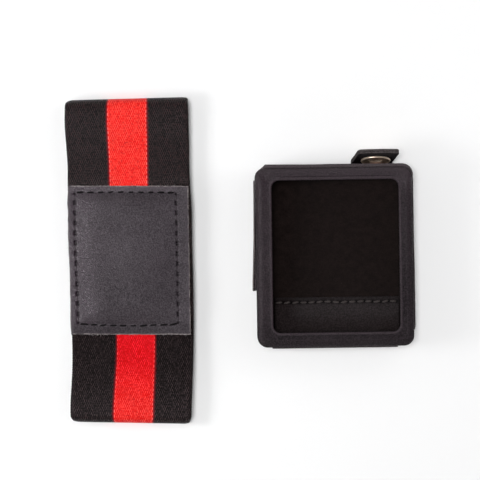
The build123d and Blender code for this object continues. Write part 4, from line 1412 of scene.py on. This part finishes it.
def flap_layer(bag, side, y0, y1, top, out_fn, thick_fn, r_corner=2.0, floor_z=0.5, seed=101, edge_wear=0.6, edge_raw=0.5):
    """One layer of a side flap: it leaves the panel's edge, turns up and stands against the wall.
    out_fn and thick_fn give its outer face's distance from the wall and its thickness along Y."""
    xe = CX + side * CW / 2
    ns, nt = 46, 96
    zs_mid = ZP0 + floor_z
    h = top - zs_mid
    S, Tt = np.meshgrid(np.linspace(0, 1, ns), np.linspace(0, 1, nt), indexing="ij")
    Y = y0 + (y1 - y0) * Tt
    floor, rb = 1.3, 0.55
    L = S * (floor + rb * math.pi / 2 + (h - rb))
    outp, th = out_fn(Y), thick_fn(Y)
    k1 = np.clip((L - floor) / (rb * math.pi / 2), 0, 1) * math.pi / 2
    L3 = np.clip(L - floor - rb * math.pi / 2, 0, None)
    px = np.where(L < floor, -floor + L, rb * np.sin(k1))
    pz = np.where(L < floor, 0.0, rb * (1 - np.cos(k1))) + L3
    # near the fold every part of the flap hugs the panel's edge; it opens towards its free edge
    opening = smooth(0.05, 0.75, pz / h)
    base = 0.42
    cen = base + (outp - th / 2 - base) * opening
    px = px + (cen - rb)
    nxd = np.where(L < floor, 0.0, np.sin(k1))
    nzd = np.where(L < floor, -1.0, -np.cos(k1))
    up = np.clip((pz - (h - r_corner)) / r_corner, 0, 1)
    draw = r_corner * (1 - np.sqrt(np.clip(1 - up**2, 0, 1)))
    Yc = y0 + draw + (y1 - y0 - 2 * draw) * Tt
    ed = np.minimum(np.minimum(Tt, 1 - Tt) * (y1 - y0), h - pz)
    half = np.where(L < floor, th / 2, 0.5 * th * np.sqrt(np.clip(1 - 0.75 * (1 - np.clip(ed / 0.16, 0, 1)) ** 2, 0.04, 1)))
    out = []
    for sg in (1, -1):
        out.append(np.stack([xe + side * (px + sg * half * nxd), Yc, zs_mid + pz + sg * half * nzd], -1))
    dn = fbm(out[0].reshape(-1, 3), 4.0, seed + side).reshape(S.shape) * 0.05 * smooth(1.0, 4.0, pz)
    for g in out:
        g[..., 0] += side * dn
    wear = edge_wear * np.exp(-((ed / 0.5) ** 2))
    rawv = np.clip(1 - ed / 0.14, 0, 1) * edge_raw * (0.12 + 0.88 * smooth(14.0, 4.0, Yc))
    o, i = out
    closed_slab(o, i, bag, top_attrs={"wear": wear, "raw": rawv}) if side > 0 else closed_slab(i, o, bag, top_attrs={"wear": wear, "raw": rawv})


def make_back():
    bag = Bag()
    x, y = plate_grid(CW, CL, CR, CX, CY, 90, 100)
    d = -rrect_dist(x - CX, y - CY, CW, CL, CR)
    roll = 0.32 * np.clip(1 - d / 0.4, 0, 1) ** 2
    p = np.stack([x, y, np.zeros_like(x)], -1)
    top = ZP0 + 1.0 - roll
    bot = ZP0 + roll - 0.0 * x
    bot = bot + 0.03 * np.abs(fbm(p, 6.0, 111)) * smooth(0.5, 3, d)
    wear = 0.5 * np.exp(-(((d - 0.15) / 0.3) ** 2))
    closed_slab(np.stack([x, y, top], -1), np.stack([x, y, bot], -1), bag, top_attrs={"wear": wear, "raw": np.zeros_like(x)})
    # the left flap is two skins back to back and springs away from the wall towards its lower end; the right flap is
    # one skin
    out_l = lambda Y: 0.26 + 0.92 * np.clip((22.0 - Y) / 30.0, 0, 1) ** 1.05
    th_l = lambda Y: 0.24 + 0.26 * smooth(20.0, 4.0, Y)
    flap_layer(bag, -1, -8.4, 23.3, 12.5, out_l, th_l, edge_raw=0.8)
    flap_layer(bag, -1, -8.0, 22.9, 13.2, lambda Y: np.maximum(out_l(Y) - th_l(Y) - 0.13, 0.05), lambda Y: np.maximum(out_l(Y) - th_l(Y) - 0.17, 0.03), floor_z=0.55, seed=104, edge_raw=0.1)
    out_r = lambda Y: 0.52 + 0.12 * smooth(20.0, -16.0, Y)
    flap_layer(bag, 1, -20.0, 24.2, 11.9, out_r, lambda Y: 0.36 + 0.08 * smooth(20.0, -10.0, Y), edge_raw=0.15)
    return bag.build("back_panel_leather", LEATHER)


back = make_back()
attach(back, "case_back")
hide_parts("back_leather")

# ----------------------------------------------------------------------- keeper
Q0, Q1 = [np.array(v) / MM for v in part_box("keeper")]


def make_keeper():
    """Leather bridge: centreline in XZ, swept along Y, flanges sewn to the panel."""
    th = 0.92
    xm = (Q0[0] + Q1[0]) / 2
    slot = 36.5
    zc = th / 2 + 0.02
    zf = ZP0 - th / 2 - 0.02
    half = (Q1[0] - Q0[0]) / 2
    pts = [(-half + 0.1, zf), (-slot / 2 - th / 2 - 0.05, zf), (-slot / 2 - th / 2, zc + 0.4), (-slot / 2 + 0.2, zc), (0, zc),
           (slot / 2 - 0.2, zc), (slot / 2 + th / 2, zc + 0.4), (slot / 2 + th / 2 + 0.05, zf), (half - 0.1, zf)]
    prof = fillet_profile(pts, [0, 0.45, 0.4, 0.5, 0, 0.5, 0.4, 0.45, 0], 5)
    prof = resample(prof, 150)
    T = np.gradient(prof, axis=0)
    T /= np.linalg.norm(T, axis=1)[:, None]
    N = np.stack([T[:, 1], -T[:, 0]], -1)        # downwards / outwards
    ys = np.linspace(Q0[1], Q1[1], 70)
    C = prof[:, None, :] + 0 * ys[None, :, None]
    e = np.minimum(ys - ys[0], ys[-1] - ys)[None] * np.ones((len(prof), 1))
    ends = np.minimum(np.arange(len(prof)), np.arange(len(prof))[::-1])[:, None] * (2 * half / len(prof))
    ed = np.minimum(e, ends)
    hh = th / 2 * np.sqrt(np.clip(1 - (1 - np.clip(ed / 0.3, 0, 1)) ** 2, 0.06, 1))
    Y = np.broadcast_to(ys[None], hh.shape)
    A = np.stack([xm + C[..., 0] + N[:, None, 0] * hh, Y, C[..., 1] + N[:, None, 1] * hh], -1)
    Bq = np.stack([xm + C[..., 0] - N[:, None, 0] * hh, Y, C[..., 1] - N[:, None, 1] * hh], -1)
    A[..., 2] = np.maximum(A[..., 2], 0.0)
    bag = Bag()
    closed_slab(Bq, A, bag, top_attrs={"wear": 0.6 * np.exp(-((ed / 0.5) ** 2)), "raw": np.clip(1 - ed / 0.15, 0, 1) * 0.2})
    return bag.build("keeper_leather", LEATHER)


keeper = make_keeper()
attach(keeper, "case_back")
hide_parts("keeper")

bag = Bag()
for fx in (CX - 18.25 - 1.0 - 1.45, CX + 18.25 + 1.0 + 1.45):
    ys = np.linspace(Q0[1] + 1.3, Q1[1] - 1.3, 8)
    for i in range(7):
        stitch(bag, (fx, ys[i]), (fx, ys[i + 1]), lambda a, b: np.stack([a, b, np.full(np.shape(a), ZP0 - 1.0)], -1), r=0.2, dive=-0.35, proud=-0.05)
kthread = bag.build("keeper_thread", THREAD)
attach(kthread, "case_back")
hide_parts("keeper_stitches")

# --------------------------------------------------- living hinge, bottom edge
joints = {j["name"]: j for j in frame["joints"]}
HJ = np.array(joints["shell_hinge"]["pos_m"]) / MM
TJ = np.array(joints["tab_hinge"]["pos_m"]) / MM


def make_hinge():
    """One strip of thin leather that runs under the back, round the fold and up the lower wall."""
    th = 0.34
    y0 = HJ[1]
    zb = ZP0 - th / 2 - 0.02
    yw = y0 - th / 2 - 0.02
    pts = [(y0 + 7.6, zb), (y0 + 1.2, zb), (yw, zb), (yw, ZB + 1.2), (yw, ZB + 5.9)]
    prof = fillet_profile(pts, [0, 0, 0.5, 0, 0], 10)
    prof = resample(prof, 90)
    T = np.gradient(prof, axis=0)
    T /= np.linalg.norm(T, axis=1)[:, None]
    N = np.stack([-T[:, 1], T[:, 0]], -1) * -1.0
    xs = np.linspace(CX - 18.0, CX + 18.0, 100)
    n, m = len(prof), len(xs)
    ex = np.minimum(xs - xs[0], xs[-1] - xs)[None] * np.ones((n, 1))
    s = arc_length(prof)
    es = np.minimum(s, s[-1] - s)[:, None] * np.ones((1, m))
    ed = np.minimum(ex, es)
    hh = th / 2 * np.sqrt(np.clip(1 - (1 - np.clip(ed / 0.2, 0, 1)) ** 2, 0.06, 1))
    X = np.broadcast_to(xs[None], hh.shape)
    A = np.stack([X, prof[:, None, 0] + N[:, None, 0] * hh, prof[:, None, 1] + N[:, None, 1] * hh], -1)
    Bq = np.stack([X, prof[:, None, 0] - N[:, None, 0] * hh, prof[:, None, 1] - N[:, None, 1] * hh], -1)
    bag = Bag()
    closed_slab(A, Bq, bag, top_attrs={"wear": 0.5 * np.exp(-((ed / 0.4) ** 2)) , "raw": np.clip(1 - ed / 0.12, 0, 1) * 0.2})
    return bag.build("hinge_leather", LEATHER)


hinge = make_hinge()
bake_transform(hinge)
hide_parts("hinge_leaf_back", "hinge_leaf_front")

# ------------------------------------------------------- facing strip on the top
TS0, TS1 = [np.array(v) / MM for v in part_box("top_strip")]


SX, SZ = 38.62, 7.9                            # the snap's centre line


def make_top_strip():
    """Leather facing glued on the outside of the top wall. Its left end is cut off at about 45 degrees; at the right it
    wraps round the corner and thins out.
    """
    yw = CY + CL / 2
    xa, xb = TS0[0] + 0.75, TS1[0] - 0.55
    th = 0.95
    cl, cr = 1.65, 1.30                       # how far each end's bevel runs
    o = []
    rr = CR

    def wall_y(x):
        """The wall's outline behind the strip, rounded at the shell's corners."""
        x = np.asarray(x, float)
        y = np.full(x.shape, yw)
        l = X0 + rr - x
        r = x - (X1 - rr)
        y = np.where(l > 0, yw - rr + np.sqrt(np.maximum(rr**2 - l**2, 0)), y)
        return np.where(r > 0, yw - rr + np.sqrt(np.maximum(rr**2 - r**2, 0)), y)

    xc = X1 - rr
    xs = np.concatenate([np.linspace(xa - 0.55, xa + cl + 0.6, 30), np.linspace(xa + cl + 0.6, xc, 120)[1:]])
    phi = np.radians(np.linspace(0, 90, 30)[1:])
    zs = np.concatenate([[TS0[2], TS0[2] + 0.12, TS0[2] + 0.4], np.linspace(TS0[2] + 1, TS1[2] - 0.9, 44), [TS1[2] - 0.45, TS1[2] - 0.22, TS1[2] - 0.08, TS1[2]]])
    zz, xx = np.meshgrid(zs, xs, indexing="ij")
    bev = np.clip((xx - (xa - 0.35)) / cl, 0, 1)
    bev = np.where(bev < 1, bev - 0.06 * np.sin(bev * math.pi), bev)
    ez = np.minimum(zz - TS0[2], TS1[2] - zz)
    rnd = np.sqrt(np.clip(1 - (1 - np.clip(ez / 0.26, 0, 1)) ** 2, 0.0, 1))
    y_in = wall_y(xx) + 0.02
    t_out = yw + 0.02 + th * (0.74 + 0.26 * rnd) - (1 - bev) * (th + 0.5)
    wav = 0.05 * fbm(np.stack([xx, zz, 0 * xx], -1), 6.0, 121) + 0.10 * np.sin((xx - xa) * 0.075) + 0.22 * np.clip(1 - (xx - xa) / 14.0, 0, 1)
    press = 0.47 * smooth(5.8, 4.7, np.hypot(xx - SX, zz - SZ))      # the riveted stud pulls the leather in
    t_out = np.maximum(t_out + wav * smooth(TS0[2] + 2, TS1[2], zz) - press, y_in + 0.06)
    drop = 0.12 * (1 - bev)
    outer = np.stack([xx, t_out, zz - drop], -1)
    inner = np.stack([xx, y_in, zz - drop], -1)
    # round the right-hand corner it thins out and dies against the side wall
    tend = (t_out - y_in)[:, -1:]
    ph, zc = np.meshgrid(phi, zs, indexing="xy")
    tt = np.maximum(tend * np.cos(ph) ** 0.85, 0.06)
    sn, cs = np.sin(ph), np.cos(ph)
    inner2 = np.stack([xc + (rr + 0.02) * sn, yw - rr + (rr + 0.02) * cs, zc], -1)
    outer2 = np.stack([xc + (rr + 0.02 + tt) * sn, yw - rr + (rr + 0.02 + tt) * cs, zc], -1)
    outer = np.concatenate([outer, outer2], 1)
    inner = np.concatenate([inner, inner2], 1)
    ez = np.concatenate([ez, np.repeat(ez[:, -1:], len(phi), 1)], 1)
    zz = np.concatenate([zz, zc], 1)
    wear = 0.75 * np.exp(-((ez / 0.4) ** 2)) * np.ones_like(zz)
    raw = np.clip(1 - (TS1[2] - zz) / 0.12, 0, 1) * 0.12
    bag = Bag()
    closed_slab(outer, inner, bag, top_attrs={"wear": wear, "raw": raw})
    return bag.build("top_facing_leather", LEATHER)


tstrip = make_top_strip()
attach(tstrip, "front_shell")
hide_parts("top_strip")

# ------------------------------------------------------------------ snap and tab
YS = CY + CL / 2 + 0.65


def wear_by_radius(V, c, axis, lo, hi):
    r = np.linalg.norm(np.cross(V - np.asarray(c), np.asarray(axis)), axis=1)
    return smooth(lo, hi, r)


prof = fillet_profile([(0, -0.32), (3.75, -0.32), (3.75, -0.04), (3.45, 0.11), (1.75, 0.15), (1.42, 0.20), (1.42, 0.44), (1.70, 0.64), (1.70, 0.86), (1.35, 1.08), (0.7, 1.05), (0.55, 0.8), (0, 0.75)],
                      [0, 0.05, 0.08, 0.1, 0.04, 0.04, 0.06, 0.08, 0.1, 0.12, 0.1, 0.1, 0], 5)
V, q, t = lathe(prof, (SX, YS, SZ), (0, 1, 0), 72)
stud = build("snap_stud_post", V, q, t, METAL_DARKER, attrs={"wear": 0.5 * wear_by_radius(V, (SX, YS, SZ), (0, 1, 0), 2.6, 3.7)})
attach(stud, "front_shell")
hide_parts("snap_stud")

YI = CY + CL / 2 - 2.2
prof = fillet_profile([(0, 0.6), (0.75, 0.55), (0.95, 0.2), (1.25, -0.30), (2.1, -0.42), (3.05, -0.30), (3.2, -0.05), (3.05, 0.05), (1.2, 0.05), (1.15, 2.6), (0, 2.6)],
                      [0, 0.1, 0.2, 0.3, 0.5, 0.3, 0.08, 0.02, 0.05, 0.02, 0], 5)
V, q, t = lathe(prof, (SX, YI, SZ), (0, 1, 0), 64)
eyelet = build("snap_eyelet_ring", V, q, t, METAL, attrs={"wear": wear_by_radius(V, (SX, YI, SZ), (0, 1, 0), 1.0, 2.4)})
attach(eyelet, "front_shell")
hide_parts("snap_eyelet")

LEAN = math.radians(13.3)


def tab_frame(y_in, h):
    """Point of the tab in its closed drawing (y from the fold axis, height h) turned out to rest."""
    c, s = math.cos(LEAN), math.sin(LEAN)
    return TJ[1] + y_in * c + h * s, TJ[2] + h * c - y_in * s


TABW, TABL, SKEW = 11.85, 11.2, 1.65
TX0 = 31.72


def make_tab_layer(name, o0, o1, mat, node, rest_back, seed):
    """One layer of the tab: o0..o1 are its offsets from the tab's mid-plane (+ is outside, away from the case)."""
    # mid-plane path in (y, z): along the tongue, round the fold, up the leaning tab
    zt = ZP0 + 0.5
    y_on, z_on = tab_frame(0.0, 1.3)
    pts = [(CY + CL / 2 - 0.6, zt)]
    bend_c = None
    p1 = (TJ[1] - 0.75, zt)
    pts.append(p1)
    corner = (TJ[1] + 0.05, zt - 0.02)
    ye, ze = tab_frame(0.0, TABL)
    pts += [corner, (ye, ze)]
    prof = fillet_profile(pts, [0, 0, 0.95, 0], 14)
    prof = resample(prof, 90)
    s = arc_length(prof)
    # a slight outward curl to the free end
    curl = 0.02 * smooth(s[-1] - 6, s[-1], s) ** 1.5
    T = np.gradient(prof, axis=0)
    T /= np.linalg.norm(T, axis=1)[:, None]
    N = np.stack([T[:, 1], -T[:, 0]], -1)          # outside: below the tongue, +Y on the tab
    prof = prof + N * curl[:, None]
    hfold = prof[:, 1] - TJ[2]
    m = 64
    tx = np.linspace(0, 1, m)
    S2, TX = np.meshgrid(s, tx, indexing="ij")
    up = np.clip((s - (s[-1] - TABL)) / TABL, 0, 1)
    skew = SKEW * up
    el = (s[-1] - s)
    rc = 1.25
    k = np.clip(1 - el / rc, 0, 1)
    draw = rc * (1 - np.sqrt(np.clip(1 - k**2, 0, 1)))
    waist = 0.10 * np.sin(np.clip(up, 0, 1) * math.pi)
    xl = TX0 + skew + draw + waist
    xr = TX0 + TABW + skew - draw - waist * 0.6
    X = xl[:, None] + (xr - xl)[:, None] * TX
    ed = np.minimum(np.minimum(TX, 1 - TX) * TABW, el[:, None])
    mid = (o0 + o1) / 2
    half = (o1 - o0) / 2
    edge_round = 0.22
    hh = half - edge_round * half * np.clip(1 - ed / 0.28, 0, 1) ** 2
    # the two layers bow gently across
    bow = 0.10 * (1 - (2 * TX - 1) ** 2) * up[:, None]
    def surf(off):
        return np.stack([X, prof[:, None, 0] + N[:, None, 0] * (off + bow), prof[:, None, 1] + N[:, None, 1] * (off + bow)], -1)
    outs = surf(mid + hh)
    ins = surf(mid - hh)
    for g in (outs, ins):
        g[..., 1] += 0.03 * fbm(g.reshape(-1, 3), 2.4, seed).reshape(g.shape[:2]) * up[:, None]
    if o0 < -0.5:
        # the hole behind the socket, where the stud's head comes in when the tab is closed
        yb, zb = tab_frame(-0.98, SZ - TJ[2])
        rb = np.hypot(ins[..., 0] - SX, (ins[..., 1] - yb) * math.sin(LEAN) + (ins[..., 2] - zb) * math.cos(LEAN))
        deep = (2 * hh - 0.05) * smooth(2.6, 2.4, rb)
        ins[..., 1] += N[:, None, 0] * deep
        ins[..., 2] += N[:, None, 1] * deep
    # free end runs very slightly convex
    for g in (outs, ins):
        g[..., 2] += 0.22 * (1 - (2 * TX - 0.9) ** 2) * smooth(s[-1] - 2.0, s[-1], s)[:, None]
    bag = Bag()
    wear = 0.8 * np.exp(-((ed / 0.5) ** 2))
    raw = np.clip(1 - ed / 0.10, 0, 1) * 0.35
    # painted shade: the whole tab is darkened and made matter
    closed_slab(ins, outs, bag, top_attrs={"wear": wear * 0.6, "raw": raw, "dull": np.full(raw.shape, 0.95), "pit": np.full(raw.shape, 0.22)})
    ob = bag.build(name, mat)
    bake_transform(ob)
    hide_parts(node)
    return ob


tab_out = make_tab_layer("tab_outer_leather", -0.03, 0.64, LEATHER, "tab_leather", True, 131)
tab_in = make_tab_layer("tab_inner_leather", -0.63, -0.05, LEATHER, "tab_lining", True, 132)

# socket ring on the tab's inner face, axis square to the tab
hS = SZ - TJ[2]
ys_, zs_ = tab_frame(-0.98, hS)
ax_in = np.array([0, -math.cos(LEAN), math.sin(LEAN)])       # out of the inner face, towards the case
cS = np.array([SX, ys_, zs_])
prof = fillet_profile([(0, -0.95), (1.75, -0.90), (2.02, -0.40), (2.05, -0.10), (2.35, 0.06), (3.2, 0.06), (3.80, 0.09), (3.92, 0.31), (4.16, 0.30), (4.28, 0.05), (4.22, -0.20), (2.8, -0.25), (2.75, -1.1), (0, -1.1)],
                      [0, 0.15, 0.15, 0.1, 0.12, 0.2, 0.15, 0.14, 0.14, 0.08, 0.03, 0.03, 0.03, 0], 5)
V, q, t = lathe(prof, cS, ax_in, 84)
rel = V - cS
rad = np.linalg.norm(rel - (rel @ ax_in)[:, None] * ax_in, axis=1)
# painted highlight: the ring's lip is lightened through the wear attribute
socket = build("snap_socket_ring", V, q, t, METAL, attrs={"wear": 1.25 * smooth(3.82, 3.96, rad) * (1 - 0.15 * smooth(4.18, 4.26, rad)) + 0.12})
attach(socket, "snap_tab")
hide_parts("snap_socket")

# the split ring spring that shows inside the socket
bag = Bag()
u = np.array([1.0, 0, 0])
w = np.cross(ax_in, u)
ang = np.linspace(math.radians(25), math.radians(335), 60)
ring = np.array([cS + ax_in * -0.15 + 1.98 * (math.cos(a) * u + math.sin(a) * w) for a in ang])
tube(bag, ring, np.full(60, 0.16), seg=10, wear=0.9)
spring = bag.build("snap_ring_spring", METAL)
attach(spring, "snap_tab")

yo_, zo_ = tab_frame(0.65, hS)
cO = np.array([SX, yo_, zo_])
prof = fillet_profile([(0, -0.08), (4.3, -0.08), (4.58, 0.02), (4.60, 0.20), (4.35, 0.36), (3.2, 0.66), (1.6, 0.84), (0, 0.88)],
                      [0, 0.05, 0.08, 0.1, 0.3, 1.5, 1.5, 0], 6)
V, q, t = lathe(prof, cO, -ax_in, 84)
rel = V - cO
rad = np.linalg.norm(rel - (rel @ ax_in)[:, None] * ax_in, axis=1)
cap = build("snap_cap_dome", V, q, t, METAL, attrs={"wear": 0.35 + 0.5 * smooth(3.2, 4.5, rad)})
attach(cap, "snap_tab")
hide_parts("snap_cap")

# ================================================================= camera, stage
scene = bpy.context.scene
scene.view_settings.view_transform = "Standard"
scene.view_settings.look = "None"
scene.view_settings.exposure = 0.0
scene.view_settings.gamma = 1.0

cam_data = bpy.data.cameras.new("camera")
cam = bpy.data.objects.new("camera", cam_data)
scene.collection.objects.link(cam)
cam.location = (-0.65 * MM, 5.9 * MM, 750 * MM)
cam.rotation_euler = (0, 0, 0)
cam_data.sensor_width = 36
cam_data.lens = 36 * 750 / (0.2897 * 480)
cam_data.clip_start = 0.01
cam_data.clip_end = 10
scene.camera = cam

floor_mat = Mat("floor_white")
fc = floor_mat.noise(floor_mat.coords(), 3.0, 2.0, 0.5)
floor_mat.set(color=floor_mat.mix(fc, (0.93, 0.93, 0.935), (0.95, 0.95, 0.95)), rough=0.9, spec=0.1)
me = bpy.data.meshes.new("floor")
me.from_pydata([(-3, -3, 0), (3, -3, 0), (3, 3, 0), (-3, 3, 0)], [], [(0, 1, 2, 3)])
floor = bpy.data.objects.new("floor", me)
me.materials.append(floor_mat.mat)
scene.collection.objects.link(floor)

world = bpy.data.worlds.new("world")
scene.world = world
world.use_nodes = True
bg = world.node_tree.nodes["Background"]
bg.inputs[0].default_value = (1.0, 1.0, 1.0, 1)
bg.inputs[1].default_value = 0.12


def area(name, loc, target, size, power, color=(1, 1, 1), size_y=None):
    d = bpy.data.lights.new(name, "AREA")
    d.energy = power
    d.color = color
    d.shape = "RECTANGLE"
    d.size = size
    d.size_y = size_y or size
    o = bpy.data.objects.new(name, d)
    scene.collection.objects.link(o)
    o.location = loc
    v = np.array(target) - np.array(loc)
    from mathutils import Vector
    o.rotation_euler = Vector(v).to_track_quat("-Z", "Y").to_euler()
    return o


def sun(name, az, el, angle, strength):
    d = bpy.data.lights.new(name, "SUN")
    d.energy = math.pi * strength
    d.angle = math.radians(angle)
    o = bpy.data.objects.new(name, d)
    scene.collection.objects.link(o)
    from mathutils import Vector
    a, e = math.radians(az), math.radians(el)
    o.rotation_euler = Vector((-math.cos(a) * math.cos(e), -math.sin(a) * math.cos(e), -math.sin(e))).to_track_quat("-Z", "Y").to_euler()
    return o


front = sun("front_softbox", 165, 85.0, 14, 0.640)
front.visible_glossy = False                 # a fill for form only: its mirror image would wash out the leather
fill = sun("right_fill", 5, 18, 20, 0.20)
fill.visible_glossy = False
window = area("window_upper_left", (-0.35, 0.30, 0.45), (0, 0, 0), 0.25, 0.10)
window.visible_glossy = False
near = area("near_left", (-0.19, -0.02, 0.19), (-0.05, 0, 0), 0.095, 0.195)
far = area("floor_right", (0.145, 0.10, 0.20), (0.08, 0.04, 0), 0.14, 0.064)
far.visible_glossy = False
below = sun("low_front", 262, 32, 30, 0.045)
below.visible_glossy = False
panel = area("gloss_panel_left", (-0.36, -0.255, 0.62), (0, 0, 0), 0.26, 4.9, color=(1.0, 0.955, 0.995), size_y=0.26)
edge_panel = area("gloss_panel_top", (-0.12, 0.62, 0.30), (0, 0, 0), 0.36, 1.6, size_y=0.22)
edge_panel.visible_diffuse = False           # lights the far edges only
panel.visible_diffuse = False                # seen only in the sheen of leather, yarn and metal
